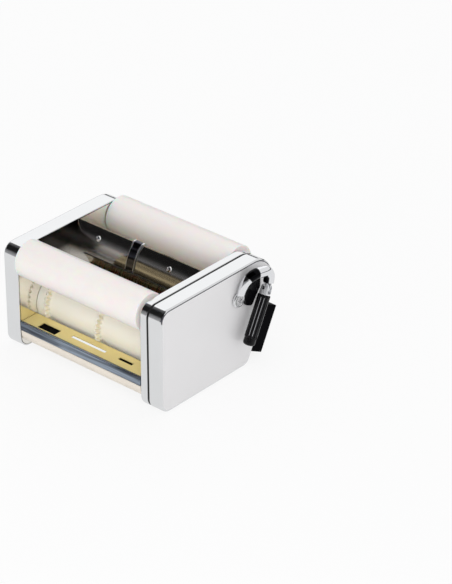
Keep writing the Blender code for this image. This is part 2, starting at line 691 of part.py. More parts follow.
# Rods, bars, stripper plate, apron and guard between the frames
def build_crosspieces(rear, front):
    """The pieces that hold the side frames apart, given the hopper walls' (y, z) points."""
    half = NEAR_PANEL - GAP
    for end, run, side in (("rear", rear, 1), ("front", front, -1)):
        near = offset_points(run, side * (HOPPER_THICK + GAP + ROD_RADIUS))[ROD_STEPS]
        rod = turned([(-half, ROD_RADIUS), (half, ROD_RADIUS)], near, BUSH_FACETS)
        add_object(f"tie_rod_{end}", rod, STEEL, smooth=True)
    bar_low = BAR_TOP - BAR_HEIGHT
    bar_back = BAR_FRONT + BAR_THICK
    add_object("cross_bar_front", block((-half, BAR_FRONT, bar_low), (half, bar_back, BAR_TOP)), STEEL)
    low = Vector((-half, bar_back + GAP, BAR_TOP - GAP - PLATE_THICK))
    below_axis = BAR_BELOW_AXIS + GAP
    roller_face = FORMING_FRONT - math.sqrt(FORMING_RADIUS ** 2 - below_axis ** 2)
    high = Vector((half, roller_face - PLATE_CLEARANCE, BAR_TOP - GAP))
    plate = add_object("stripper_plate", block(low, high), BRASS)
    middle = low.y + (high.y - low.y) * SLOT_SHARE
    slot_front = middle - SLOT_DEPTH / 2
    for number, (x, width, front, depth) in enumerate((
            (-SLOT_SIDE_OFFSET, SLOT_LEFT_WIDTH, low.y + SLOT_LEFT_INSET, SLOT_LEFT_DEPTH),
            (0, SLOT_MIDDLE_WIDTH, slot_front, SLOT_DEPTH),
            (SLOT_SIDE_OFFSET, SLOT_SIDE_WIDTH, slot_front, SLOT_DEPTH))):
        slot = block((x - width / 2, front, low.z - PLATE_THICK),
                     (x + width / 2, front + depth, high.z + PLATE_THICK))
        cut(plate, slot, f"slot_{number}")

    # Blocks under the plate's side slots, tapering towards the roller
    for side, x in (("left", -SLOT_SIDE_OFFSET), ("right", SLOT_SIDE_OFFSET)):
        start = low.y + STRIPPER_INSET
        end = start + STRIPPER_DEPTH
        top = low.z - GAP
        section = ((start, top - STRIPPER_HEIGHT), (end, top - STRIPPER_TOE), (end, top), (start, top))
        rings = [[Vector((across, y, z)) for y, z in section]
                 for across in (x - STRIPPER_WIDTH / 2, x + STRIPPER_WIDTH / 2)]
        add_object(f"stripper_block_{side}", loft(rings), BLACK_PLASTIC)

    # Apron below the bar
    top = bar_low - GAP
    front = BAR_FRONT + APRON_SET
    run = [Vector((front, top))]
    top -= APRON_STRAIGHT
    drop = top - APRON_FOOT
    for step in range(APRON_STEPS + 1):
        angle = math.pi / 2 * step / APRON_STEPS
        run.append(Vector((front + APRON_REACH * (1 - math.cos(angle)), top - drop * math.sin(angle))))
    add_object("apron", sheet(run, APRON_THICK, -half, half), CREAM_PLASTIC, smooth=True)

    # Guard along the leaning back edge, and the tie bar at its foot
    foot = Vector((0, FRAME_DEPTH - LEAN_FOOT, 0)) - LEAN_OUT * GUARD_INSET
    corners = []
    for height, inner in ((GUARD_LOW, 0), (GUARD_HIGH, 0), (GUARD_HIGH, 1), (GUARD_LOW, 1)):
        corners.append(foot + LEAN * (height / LEAN.z) - LEAN_OUT * (inner * GUARD_THICK))
    rings = [[point + Vector((x, 0, 0)) for point in corners] for x in (-half, half)]
    add_object("rear_guard", loft(rings), CHROME)
    start = FRAME_DEPTH - LEAN_FOOT - REAR_BAR_INSET
    bar_top = FORMING_ABOVE_FLOOR - REAR_BAR_CLEARANCE
    rear = block((-half, start, bar_top - REAR_BAR_HEIGHT), (half, start + BAR_THICK, bar_top))
    add_object("cross_bar_rear", rear, STEEL)


# Rear docking brackets
def build_brackets():
    """A grooved block on the leaning back edge of each side box."""
    foot_point = Vector((0, FRAME_DEPTH - LEAN_FOOT, 0))
    low = foot_point + LEAN * (BRACKET_LOW / LEAN.z) + LEAN_OUT * GAP
    high = foot_point + LEAN * (BRACKET_HIGH / LEAN.z) + LEAN_OUT * GAP
    length = (high - low).length
    places = (("left", FAR_FACE + BRACKET_INSET), ("right", COVER_FACE - BRACKET_INSET - BRACKET_WIDTH))
    for side, x in places:
        corners = (low, high, high + LEAN_OUT * BRACKET_DEPTH, low + LEAN_OUT * BRACKET_DEPTH)
        rings = [[point + Vector((across, 0, 0)) for point in corners] for across in (x, x + BRACKET_WIDTH)]
        bracket = add_object(f"docking_bracket_{side}", loft(rings), BLACK_PLASTIC)
        start = x + (BRACKET_WIDTH - BRACKET_GROOVE) / 2
        deep = LEAN_OUT * (BRACKET_DEPTH - BRACKET_GROOVE_DEPTH)
        proud = LEAN_OUT * (BRACKET_DEPTH + BRACKET_GROOVE_DEPTH)
        groove = (low + deep - LEAN * length, high + deep - LEAN * length / 4,
                  high + proud - LEAN * length / 4, low + proud - LEAN * length)
        cut(bracket, loft([[p + Vector((across, 0, 0)) for p in groove] for across in
                           (start, start + BRACKET_GROOVE)]), f"groove_{side}")
    return low, length, places


def build_bracket_screws(low, length, places, shells):
    """Screws sunk into each bracket's outer land and through the wall behind it."""
    for side, x in places:
        bracket = parts.objects[f"docking_bracket_{side}"]
        land = (BRACKET_WIDTH - BRACKET_GROOVE) / 4
        land = x + (land if side == "left" else BRACKET_WIDTH - land)
        for number, share in enumerate(BRACKET_SCREW_SHARES):
            base = low + LEAN * (length * share) + Vector((land, 0, 0))
            inner = -GAP - COVER_WALL - BRACKET_SCREW_TAIL
            seat = BRACKET_DEPTH - BRACKET_HEAD - 2 * GAP
            stations = [(inner, BRACKET_SCREW_RADIUS), (seat + GAP, BRACKET_SCREW_RADIUS),
                        (seat + GAP, BRACKET_HEAD_RADIUS), (seat + GAP + BRACKET_HEAD, BRACKET_HEAD_RADIUS)]
            screw = loft(along_line(base, LEAN_OUT, Vector((1, 0, 0)), stations, SMALL_FACETS))
            add_object(f"bracket_screw_{side}_{number + 1}", screw, STEEL)
            bore = BRACKET_SCREW_RADIUS + GAP
            sink = BRACKET_HEAD_RADIUS + GAP
            path = [(inner, bore), (seat, bore), (seat, sink), (BRACKET_DEPTH + BRACKET_HEAD, sink)]
            cut(bracket, loft(along_line(base, LEAN_OUT, Vector((1, 0, 0)), path, SMALL_FACETS)),
                f"sink_{side}_{number}")
            wall = [(-2 * COVER_WALL, bore), (COVER_WALL, bore)]
            cut(shells[side], loft(along_line(base, LEAN_OUT, Vector((1, 0, 0)), wall, SMALL_FACETS)),
                f"wall_hole_{side}_{number}")


# Crank, its hub, arm and folding grip
def swept(path, sizes, normal, facets):
    """A rounded bar along a path: sizes are half widths along the normal and across it."""
    rings = []
    for k, point in enumerate(path):
        along = (path[min(k + 1, len(path) - 1)] - path[max(k - 1, 0)]).normalized()
        across = along.cross(normal).normalized()
        side = across.cross(along)
        thick, wide = sizes[k]
        ring = []
        for f in range(facets):
            angle = 2 * math.pi * f / facets
            ring.append(point + side * (thick * math.cos(angle)) + across * (wide * math.sin(angle)))
        rings.append(ring)
    return rings


def smooth_run(points, steps):
    """Points on a smooth curve through each of the given points."""
    run = [points[0]]
    for k in range(len(points) - 1):
        a = points[max(k - 1, 0)]
        b, c = points[k], points[k + 1]
        d = points[min(k + 2, len(points) - 1)]
        for step in range(1, steps + 1):
            t = step / steps
            run.append(0.5 * (2 * b + (c - a) * t + (2 * a - 5 * b + 4 * c - d) * t ** 2
                              + (3 * b - a - 3 * c + d) * t ** 3))
    return run


def build_crank(pinion_phase, gear_low, gear_high):
    """The crank from its shaft and pinion to the fold pin; gives the pin hole's stations."""
    centre = CRANK_CENTRE
    pivot = (0, *centre)
    hub_face = COVER_FACE + HUB_PROUD
    screw_seat = hub_face - SCREW_HEAD - GAP
    shaft = turned([(NEAR_PANEL + GAP, CRANK_SHAFT_RADIUS), (screw_seat, CRANK_SHAFT_RADIUS)],
                   centre, BUSH_FACETS)
    add_object("crank_shaft", shaft, STEEL, pivot)
    bore = CRANK_SHAFT_RADIUS + GAP
    build_gear("crank_pinion", centre, PINION_TEETH, pinion_phase, gear_low, gear_high, bore)
    ring = turned([(gear_high + GAP, RETAINER_RADIUS), (gear_high + GAP + RETAINER_WIDTH, RETAINER_RADIUS)],
                  centre, BUSH_FACETS, bore)
    add_object("crank_retainer", ring, STEEL, pivot)

    # Hub with a sunk screw in its face
    low = COVER_FACE + GAP
    sink = SCREW_RADIUS + GAP
    stations = [(low, HUB_RADIUS), (hub_face - HUB_LIP, HUB_RADIUS), (hub_face, HUB_RADIUS - HUB_LIP),
                (hub_face, sink), (screw_seat, sink), (screw_seat, bore), (low, bore)]
    hub = loft([circle(x, centre, radius, BUSH_FACETS) for x, radius in stations], closed=True)
    add_object("crank_hub", hub, CHROME, pivot)
    screw = turned([(screw_seat + GAP, SCREW_RADIUS), (hub_face, SCREW_RADIUS)], centre, BUSH_FACETS)
    screw = add_object("crank_screw", screw, STEEL, pivot)
    for number, (across, up) in enumerate(((CROSS_LENGTH, CROSS_WIDTH), (CROSS_WIDTH, CROSS_LENGTH))):
        recess = block((hub_face - CROSS_DEPTH, centre[0] - across / 2, centre[1] - up / 2),
                       (hub_face + CROSS_DEPTH, centre[0] + across / 2, centre[1] + up / 2))
        cut(screw, recess, f"cross_{number}")

    # Arm: from the hub, over the crown and down to the tongue that the grip folds on
    root = Vector((COVER_FACE + ARM_ROOT_STANDOFF, *centre))
    lift = GRIP_CENTRE - root.x
    run_in = FOLD_POINT - GRIP_LINE * (KNUCKLE_RADIUS + SHOULDER_LENGTH)
    bend_centre = run_in + FOLD_AXIS * ARM_BEND
    guide = [root]
    for out, back, up in (ARM_RISE, ARM_SHOULDER, ARM_CROWN):
        guide.append(root + Vector((lift * out, back, up)))
    squeezed = len(guide) - 1
    last = math.atan2(-FOLD_AXIS.z, -FOLD_AXIS.y)
    for share in ARM_BEND_SHARES:
        angle = math.pi / 2 + (last - math.pi / 2) * share
        guide.append(bend_centre + ARM_BEND * Vector((0, math.cos(angle), math.sin(angle))))
    path = smooth_run(guide, ARM_STEPS)
    sizes = []
    for k in range(len(path)):
        share = min(1, k / (squeezed * ARM_STEPS))
        sizes.append((ARM_ROOT_THICK + (ARM_RADIUS - ARM_ROOT_THICK) * share, ARM_RADIUS))
    rings = swept(path, sizes, Vector((1, 0, 0)), ARM_FACETS)
    side = FOLD_AXIS.cross(GRIP_LINE)
    ends = [(-KNUCKLE_RADIUS - 3 * GAP, ARM_RADIUS, ARM_RADIUS),
            (-KNUCKLE_RADIUS - 2 * GAP, TONGUE_RADIUS, TONGUE_HALF), (0, TONGUE_RADIUS, TONGUE_HALF)]
    for angle in TONGUE_ANGLES:
        ends.append((TONGUE_RADIUS * math.sin(angle), TONGUE_RADIUS * math.cos(angle), TONGUE_HALF))
    for distance, thick, wide in ends:
        ring = []
        for f in range(ARM_FACETS):
            angle = 2 * math.pi * f / ARM_FACETS
            ring.append(FOLD_POINT + GRIP_LINE * distance + side * (thick * math.cos(angle))
                        + FOLD_AXIS * (wide * math.sin(angle)))
        rings.append(ring)
    arm = add_object("crank_arm", loft(rings), CHROME, pivot, smooth=True)
    seat = HUB_RADIUS + GAP
    cut(arm, turned([(COVER_FACE, seat), (GRIP_CENTRE + ARM_RADIUS, seat)], centre, 2 * BUSH_FACETS),
        "hub_seat")

    # Rest below the arm, beside the folded grip
    rest = []
    for k, corner in enumerate(REST_CORNERS):
        here = Vector(corner)
        before = (Vector(REST_CORNERS[k - 1]) - here).normalized()
        after = (Vector(REST_CORNERS[(k + 1) % len(REST_CORNERS)]) - here).normalized()
        for step in range(REST_STEPS + 1):
            t = step / REST_STEPS
            rest.append(here + REST_RADIUS * (before * (1 - t) ** 2 + after * t ** 2))
    rings = [[Vector((COVER_FACE + x, p.x, p.y)) for p in rest] for x in (REST_LOW, REST_HIGH)]
    add_object("grip_rest", loft(rings), BLACK_PLASTIC, pivot)

    # Fold pin through the tongue and the fork
    reach = COLLAR_RADIUS - 2 * GAP
    ends = [(-reach, PIN_RADIUS), (reach, PIN_RADIUS)]
    pin = along_line(FOLD_POINT, FOLD_AXIS, GRIP_LINE, ends, SMALL_FACETS)
    add_object("fold_pin", loft(pin), STEEL, FOLD_POINT)
    hole = [(-2 * COLLAR_RADIUS, PIN_RADIUS + GAP), (2 * COLLAR_RADIUS, PIN_RADIUS + GAP)]
    cut(arm, loft(along_line(FOLD_POINT, FOLD_AXIS, GRIP_LINE, hole, SMALL_FACETS)), "pin_hole_arm")
    return hole


def build_grip(hole):
    """The fork with its spindle, the ribbed sleeve that turns on it, and the end cap."""
    side = Vector((1, 0, 0))
    length = (Vector(GRIP_FOOT) - Vector(GRIP_TOP)).length
    sleeve_start = KNUCKLE_REACH
    sleeve_end = sleeve_start + length - GRIP_CAP_LENGTH
    cap_end = sleeve_start + length
    dome = [(-KNUCKLE_RADIUS * math.sin(angle), KNUCKLE_RADIUS * math.cos(angle))
            for angle in KNUCKLE_ANGLES]
    collar_end = sleeve_start - GAP
    spindle_end = sleeve_end + SPINDLE_IN_CAP
    stations = dome + [(0, COLLAR_RADIUS * KNUCKLE_SHARE), (collar_end, COLLAR_RADIUS),
                       (collar_end, SPINDLE_RADIUS), (spindle_end, SPINDLE_RADIUS)]
    fork = loft(along_line(FOLD_POINT, GRIP_LINE, side, stations, ARM_FACETS))
    fork = add_object("grip_spindle", fork, CHROME, FOLD_POINT, smooth=True)
    wide = TONGUE_HALF + GAP
    deep = 2 * COLLAR_RADIUS
    slot = []
    for distance in (-2 * KNUCKLE_RADIUS, TONGUE_RADIUS + 2 * GAP):
        base = FOLD_POINT + GRIP_LINE * distance
        corners = ((-1, -1), (1, -1), (1, 1), (-1, 1))
        slot.append([base + FOLD_AXIS * (wide * a) + side * (deep * b) for a, b in corners])
    cut(fork, loft(slot), "fork_slot")
    cut(fork, loft(along_line(FOLD_POINT, FOLD_AXIS, GRIP_LINE, hole, SMALL_FACETS)), "pin_hole_fork")

    def rib(k):
        return 0 if k % 2 == 0 else -GRIP_RIB_DEPTH

    facets = 2 * GRIP_RIBS
    bore = SPINDLE_RADIUS + GAP
    rings = along_line(FOLD_POINT, GRIP_LINE, side, [(sleeve_start, GRIP_RADIUS), (sleeve_end, GRIP_RADIUS)],
                       facets, rib)
    rings += along_line(FOLD_POINT, GRIP_LINE, side, [(sleeve_end, bore), (sleeve_start, bore)], facets)
    add_object("grip_sleeve", loft(rings, closed=True), BLACK_PLASTIC, FOLD_POINT)
    low = sleeve_end + GAP
    wide, narrow = (GRIP_RADIUS * share for share in GRIP_CAP_SHARES)
    stations = [(low, wide), (cap_end - GRIP_CAP_BEVEL, wide), (cap_end, narrow)]
    cap = add_object("grip_cap", loft(along_line(FOLD_POINT, GRIP_LINE, side, stations, facets)),
                     BLACK_PLASTIC, FOLD_POINT)
    socket = [(low - GAP, bore), (spindle_end + GAP, bore)]
    cut(cap, loft(along_line(FOLD_POINT, GRIP_LINE, side, socket, ARM_FACETS)), "cap_socket")


build_housing()
build_bushes()
front_phase, rear_phase, pinion_phase = gear_phases()
build_forming_set("front", FORMING_FRONT, front_phase, 0.0)
gear_low, gear_high = build_forming_set("rear", FORMING_REAR, rear_phase, math.pi)
for end, centre in DOUGH_AXES.items():
    build_dough_roller(end, centre)
rear_run, front_run = build_hopper()
build_crosspieces(rear_run, front_run)
bracket_low, bracket_length, bracket_places = build_brackets()
build_bracket_screws(bracket_low, bracket_length, bracket_places,
                     {"left": parts.objects["cap_left"], "right": parts.objects["cover_right"]})
build_grip(build_crank(pinion_phase, gear_low, gear_high))
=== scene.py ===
"""Looks of the filled-pasta unit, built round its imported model. Metres, +Z up."""
import math

import bmesh
import bpy
import numpy as np
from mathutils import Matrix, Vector


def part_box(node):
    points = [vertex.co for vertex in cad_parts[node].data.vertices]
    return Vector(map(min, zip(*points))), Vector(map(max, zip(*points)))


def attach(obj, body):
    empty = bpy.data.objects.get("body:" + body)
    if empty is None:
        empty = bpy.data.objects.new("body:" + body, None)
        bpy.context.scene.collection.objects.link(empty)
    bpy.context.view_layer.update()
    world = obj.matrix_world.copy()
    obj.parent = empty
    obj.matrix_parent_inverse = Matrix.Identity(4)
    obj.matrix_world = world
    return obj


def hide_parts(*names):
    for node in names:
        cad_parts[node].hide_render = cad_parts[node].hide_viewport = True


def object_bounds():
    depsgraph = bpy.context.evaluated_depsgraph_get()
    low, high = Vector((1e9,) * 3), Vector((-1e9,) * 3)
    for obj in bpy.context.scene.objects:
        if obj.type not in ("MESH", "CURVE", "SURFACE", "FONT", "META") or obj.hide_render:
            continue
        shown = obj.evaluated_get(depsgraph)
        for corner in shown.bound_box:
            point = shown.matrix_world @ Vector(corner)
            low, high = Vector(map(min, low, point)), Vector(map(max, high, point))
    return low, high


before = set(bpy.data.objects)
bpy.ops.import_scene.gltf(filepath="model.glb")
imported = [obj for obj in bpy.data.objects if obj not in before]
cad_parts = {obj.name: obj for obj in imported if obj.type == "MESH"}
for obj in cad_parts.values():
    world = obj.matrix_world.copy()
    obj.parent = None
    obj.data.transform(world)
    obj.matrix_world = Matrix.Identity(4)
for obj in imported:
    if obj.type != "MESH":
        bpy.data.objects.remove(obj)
CAD_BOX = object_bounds()
CAD_MIDDLE = (CAD_BOX[0] + CAD_BOX[1]) / 2

# Camera, at the photograph's viewing angle
CAMERA_AZIMUTH = math.radians(40.97)
CAMERA_ELEVATION = math.radians(29.95)
TARGET_OFFSET = Vector((0.0065, 0.11575, 0.0763))
CAMERA_DISTANCE = 2.5
CAMERA_LENS = 161.07

# Dark flag: angles from straight up towards the front, and sideways; greys by share down it
CARD_DISTANCE = 1.2
CARD_FALL = (-8, 100)
CARD_SIDE = (-64, 62)
CARD_STEPS = 24
CARD_GREYS = ((0.0, 0.17), (0.20, 0.05), (0.26, 0.005), (0.60, 0.005), (0.72, 0.22), (1.0, 0.46))
CARD_BLUE = 1.02

# Dark band, floor and sky
HORIZON_RADIUS = 2.2
HORIZON_HEIGHTS = (-0.10, 0.30)
HORIZON_FACETS = 96
FLOOR_SIZE = 8
FLOOR_DROP = 0.0002
FLOOR_SHARE = 0.86
FLOOR_REFLECTED = 0.81
SKY_COLOUR = (0.99, 0.99, 1.0, 1)
SKY_LIGHT = 0.81
SKY_SEEN = 0.98

# Lamps: name, direction from the object, distance, width, height, watts, shown in reflections
LAMPS = (
    ("lamp_back", (-0.55, 0.60, 0.58), 1.5, 1.8, 1.3, 1.8, True),
    ("lamp_key", (0.42, -0.74, 0.48), 1.6, 1.8, 1.2, 7.0, False),
    ("lamp_low", (0.20, -1.0, 0.10), 1.2, 1.4, 0.5, 1.4, False),
)

# Shared by all pieces
GAP = 0.0003
BORE_GAP = 0.0003
MERGE_DISTANCE = 1e-7
WELD_DISTANCE = 1e-6
ON_FACE = 1e-5
ON_EDGE = 1e-4
SHARP_ANGLE = 35
BEVEL_ANGLE = math.radians(40)
BEVEL_SEGMENTS = 2
TURNED_FACETS = 96

# Side housings
FRONT_RADIUS = 0.012
BACK_TOP_RADIUS = 0.028
LEAN_RADIUS = 0.030
BACK_FOOT_RADIUS = 0.010
BACK_RISE = 0.0407
LEAN_FOOT = 0.0365
CORNER_STEPS = 18
SHEET = 0.0015
EDGE_RADIUS = 0.0024
EDGE_STEPS = 8
LIP_RADIUS = 0.0004
# Painted dark reflection along the cover's rim: depth of the strip, how far down it runs, and its
# wider crescent at the front top corner
RIM_DEPTH = 0.00018
RIM_DROP = 0.014
RIM_CORNER_DEPTH = 0.0009
RIM_CORNER_FRONT = 0.001
RIM_CORNER_TOP = 0.003
HOLE_FACETS = 64
PANEL_SHADE_HEIGHT = 0.034
PANEL_SHADE_FADE = 0.020
PANEL_SHADE_SOFT = 0.002

# Rollers
DOUGH_EDGE = 0.0010
DOUGH_EDGE_STEPS = 5
ROLLER_FACETS = 144
POCKET_PITCH = 0.068
POCKET_DEPTH = 0.0045
POCKETS_ROUND = 3
POCKET_CROWN = 0.0006
RIDGE_HALF = 0.0009
RIDGE_SLOPE = 0.0014
RIDGE_ZIGZAG = 0.0012
RIDGE_PERIOD = 0.0054
MARGIN_DEPTH = 0.0012
# Painted shade on the forming rollers' ridge flanks: strength of the mark
FLANK_PAINTED_SHADE = 3.2
FORMING_STEP = 0.0005

# Hopper: places back from the front dough roller's axis, and heights above it
HOPPER_THICK = 0.0012
HOPPER_REAR_TOP = (0.0712, 0.0140)
HOPPER_REAR_BEND = (0.0595, 0.0050)
HOPPER_REAR_FOOT = 0.0550
HOPPER_FRONT_TOP = (0.0280, 0.0125)
HOPPER_FRONT_BEND = (0.0390, 0.0040)
HOPPER_FRONT_FOOT = 0.0440
HOPPER_STEPS = 28
HOPPER_CORNER = 0.0060
HOPPER_CORNER_STEPS = 10

# Strap: columns by share of its half width; its hook's (y, z) steps behind and before the wall
STRAP_THICK = 0.0012
STRAP_COLUMNS = (-1, -0.84, -0.72, 0.72, 0.84, 1)
STRAP_HOOK_BACK = ((-0.0002, -0.0004), (-0.0008, 0))
STRAP_HOOK_FRONT = ((0.0006, 0), (-0.0001, -0.0002))
STRAP_SHARE = 0.80
STRAP_FLARE = 0.0012
STRAP_FLARE_SPAN = 0.30
STRAP_SUNK = 0.0005
STRAP_SUNK_SHARE = 0.75
STRAP_RIM_SHARE = 0.80

# Crank, arm and grip, placed from the hub's axis
ARM_RADIUS = 0.0054
ARM_ROOT_THICK = 0.0028
ARM_ROOT_STANDOFF = 0.0034
ARM_RISE = (0.15, 0.0022, 0.0100)
ARM_SHOULDER = (0.45, 0.0062, 0.0192)
ARM_CROWN = (0.80, 0.0145, 0.0238)
ARM_BEND = 0.0100
ARM_BEND_SHARES = (0, 0.3, 0.65, 1)
ARM_START_INSET = 0.003
ARM_STEPS = 8
ARM_FACETS = 40
# Painted dark reflection on the arm: where along it the black shoulder band starts and ends, and
# from where round its inner side it turns black before and after the band
ARM_PAINTED_DARK = (0.24, 0.40)
ARM_PAINTED_DARK_SOFT = 0.03
ARM_INNER_PAINTED_DARK = (0.1, 0.6)
ARM_INNER_SOFT = 0.3
GRIP_TOP = (0.0279, -0.0032)
GRIP_FOOT = (0.0044, -0.0489)
GRIP_RADIUS = 0.0064
GRIP_RIBS = 12
GRIP_RIB_DEPTH = 0.0007
GRIP_RIB_FACETS = 12
# Painted highlight: angles round the grip, in degrees, and half widths of the rib crests that get a
# light grey colour
GRIP_PAINTED_HIGHLIGHT_CRESTS = ((45, 1.6), (75, 1.6), (165, 3.2))
GRIP_BORE = 0.0028
GRIP_SOFT = 0.0009
GRIP_SOFT_STEPS = 4
GRIP_STATIONS = 24
GRIP_STANDOFF = 0.0100
CAP_LENGTH = 0.0075
CAP_SHARE = 0.93
CAP_EDGE = 0.0004
CAP_CROWN = 0.0030
CAP_TIP_SHARE = 0.55
CAP_STEPS = 8
KNUCKLE_RADIUS = 0.0054
KNUCKLE_REACH = 0.0066
SHOULDER_LENGTH = 0.0012
TONGUE_HALF = 0.0020
TONGUE_RADIUS = 0.0042
TONGUE_ANGLES = (0.35, 0.70, 1.05, 1.35)
HUB_LIP = 0.0012
HUB_LIP_STEPS = 6
HUB_BACK_EDGE = 0.0006
HUB_SINK_EDGE = 0.0003
HUB_GROOVE = 0.0061
HUB_GROOVE_WIDTH = 0.0004

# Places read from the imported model
near_low, near_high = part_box("frame_plate_right")
cover_low, cover_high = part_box("cover_right")
cap_low, cap_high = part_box("cap_left")
NEAR_PANEL = near_low.x
FRONT = near_low.y
BACK = near_high.y
TOP = near_high.z
LEAN_START = TOP - BACK_RISE
COVER_FACE = cover_high.x


def middle(name):
    """The middle of a node's box, which is a turned node's axis."""
    low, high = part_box(name)
    return (low + high) / 2


def half_height(name):
    """Half the height of a node's box, which is a turned node's radius."""
    low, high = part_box(name)
    return (high.z - low.z) / 2


CRANK = middle("crank_hub")
CRANK.x = COVER_FACE
GRIP_LINE = Vector((0, GRIP_FOOT[0] - GRIP_TOP[0], GRIP_FOOT[1] - GRIP_TOP[1])).normalized()
FOLD_AXIS = GRIP_LINE.cross(Vector((1, 0, 0)))
GRIP_START = CRANK + Vector((GRIP_STANDOFF, *GRIP_TOP))
FOLD_POINT = GRIP_START - GRIP_LINE * KNUCKLE_REACH


# Materials
class Finish:
    """A Principled material with named shader inputs and a short way to add nodes."""

    def __init__(self, name, colour, metallic, roughness, **sockets):
        self.material = bpy.data.materials.new(name)
        self.material.use_nodes = True
        self.tree = self.material.node_tree
        self.shader = self.tree.nodes["Principled BSDF"]
        self.set(self.shader, {"Base Color": (*colour, 1), "Metallic": metallic,
                               "Roughness": roughness})
        self.set(self.shader, sockets)
        self.material.diffuse_color = (*colour, 1)
        self.place = self.tree.nodes.new("ShaderNodeTexCoord").outputs["Object"]

    @staticmethod
    def set(node, values):
        for name, value in values.items():
            node.inputs[name].default_value = value

    def add(self, kind, values=None, **settings):
        node = self.tree.nodes.new(kind)
        for name, value in settings.items():
            setattr(node, name, value)
        self.set(node, values or {})
        return node

    def link(self, output, socket):
        self.tree.links.new(output, socket)

    def combine(self, operation, first, second):
        """The result of a sum on two outputs."""
        node = self.add("ShaderNodeMath", operation=operation)
        self.link(first, node.inputs[0])
        self.link(second, node.inputs[1])
        return node.outputs["Value"]

    def noise(self, scale, detail=3, stretch=None, distortion=0):
        """Noise over the piece; stretch is how much finer it is along each axis."""
        texture = self.add("ShaderNodeTexNoise",
                           {"Scale": scale, "Detail": detail, "Distortion": distortion})
        source = self.place
        if stretch:
            mapping = self.add("ShaderNodeMapping", {"Scale": stretch})
            self.link(source, mapping.inputs["Vector"])
            source = mapping.outputs["Vector"]
        self.link(source, texture.inputs["Vector"])
        return texture.outputs["Fac"]

    def mapped(self, source, low, high, start=0.3, end=0.7):
        """Stretch a noise's middle range to run from low to high."""
        node = self.add("ShaderNodeMapRange",
                        {"From Min": start, "From Max": end, "To Min": low, "To Max": high})
        self.link(source, node.inputs["Value"])
        return node.outputs["Result"]

    def vary_roughness(self, source, low, high, start=0.3, end=0.7):
        self.link(self.mapped(source, low, high, start, end), self.shader.inputs["Roughness"])

    def vary_colour(self, source, first, second, start=0.3, end=0.7):
        ramp = self.add("ShaderNodeValToRGB")
        ramp.color_ramp.elements[0].position = start
        ramp.color_ramp.elements[1].position = end
        ramp.color_ramp.elements[0].color = (*first, 1)
        ramp.color_ramp.elements[1].color = (*second, 1)
        self.link(source, ramp.inputs["Fac"])
        self.link(ramp.outputs["Color"], self.shader.inputs["Base Color"])

    def bump(self, *layers):
        """Bump from (height source, depth in metres, strength) layers."""
        normal = None
        for source, depth, strength in layers:
            node = self.add("ShaderNodeBump", {"Distance": depth, "Strength": strength})
            self.link(source, node.inputs["Height"])
            if normal:
                self.link(normal, node.inputs["Normal"])
            normal = node.outputs["Normal"]
        self.link(normal, self.shader.inputs["Normal"])

    def wipe_marks(self):
        """Faint marks of wiping along the sheet."""
        return self.noise(22, 4, (1, 2.2, 0.6), 0.6)

    def polish(self, wave):
        """The bump of polished sheet: soft waves of a depth, and fine grain."""
        self.bump((self.noise(9, 1), wave, 1.0), (self.noise(1400, 2), 0.000002, 0.35))


def darker(colour, share):
    """A colour at a share of its brightness."""
    return tuple(c * share for c in colour)


def make_chrome(name, colour, low, high, wave):
    """Polished plating over pressed sheet: soft waves, faint wipe marks and fine grain."""
    finish = Finish(name, colour, 1.0, low)
    finish.vary_roughness(finish.wipe_marks(), low, high)
    finish.polish(wave)
    finish.vary_colour(finish.noise(30, 2), darker(colour, 0.975), colour)
    return finish.material


def make_brushed(name, colour, low, high, stretch):
    """Metal brushed along one direction."""
    finish = Finish(name, colour, 1.0, low)
    grain = finish.noise(900, 3, stretch)
    finish.vary_roughness(grain, low, high)
    finish.vary_colour(finish.noise(45, 3), darker(colour, 0.93), colour)
    finish.bump((grain, 0.00001, 0.5))
    return finish.material


def make_satin(name, colour, metallic, low, high):
    """Plated metal with a fine matt grain."""
    finish = Finish(name, colour, metallic, low)
    finish.vary_roughness(finish.noise(26, 4, (1, 2, 0.7), 0.5), low, high)
    finish.vary_colour(finish.noise(18, 3), darker(colour, 0.985), colour)
    finish.bump((finish.noise(9, 1), 0.00003, 1.0), (finish.noise(2600, 2), 0.000003, 0.5))
    return finish.material


def make_painted_reflection_streaks(name, dark, light, low, high, stretch):
    """Polished metal with long dark and light streaks in its colour, a painted reflection."""
    finish = Finish(name, light, 1.0, low)
    reflection_streak = finish.noise(260, 3, stretch, 0.3)
    finish.vary_roughness(finish.noise(80, 3), low, high)
    finish.vary_colour(reflection_streak, dark, light, 0.38, 0.62)
    finish.bump((finish.noise(900, 2, stretch), 0.00001, 0.4))
    return finish.material


def make_plastic(name, colour, low, high, grain_scale, grain_depth, spread=0.94, **sockets):
    """Moulded plastic with a fine texture and slightly cloudy colour."""
    finish = Finish(name, colour, 0.0, low, **sockets)
    finish.vary_roughness(finish.noise(60, 4), low, high)
    finish.vary_colour(finish.noise(35, 4, None, 0.4), darker(colour, spread), colour)
    finish.bump((finish.noise(14, 2), 0.00008, 0.5),
                (finish.noise(grain_scale, 2), grain_depth, 0.6))
    return finish.material


def make_painted_reflection_arm():
    """Polished plating with a painted dark reflection on the arch's inner side and shoulder, from a
    vertex layer.
    """
    light, black = (0.88, 0.89, 0.91), (0.006, 0.006, 0.007)
    finish = Finish("arm_painted_reflection", light, 1.0, 0.08)
    finish.vary_roughness(finish.wipe_marks(), 0.05, 0.10)
    shade = finish.add("ShaderNodeVertexColor", layer_name="shade")
    finish.vary_colour(shade.outputs["Color"], light, black, 0.35, 0.65)
    finish.polish(0.00002)
    return finish.material


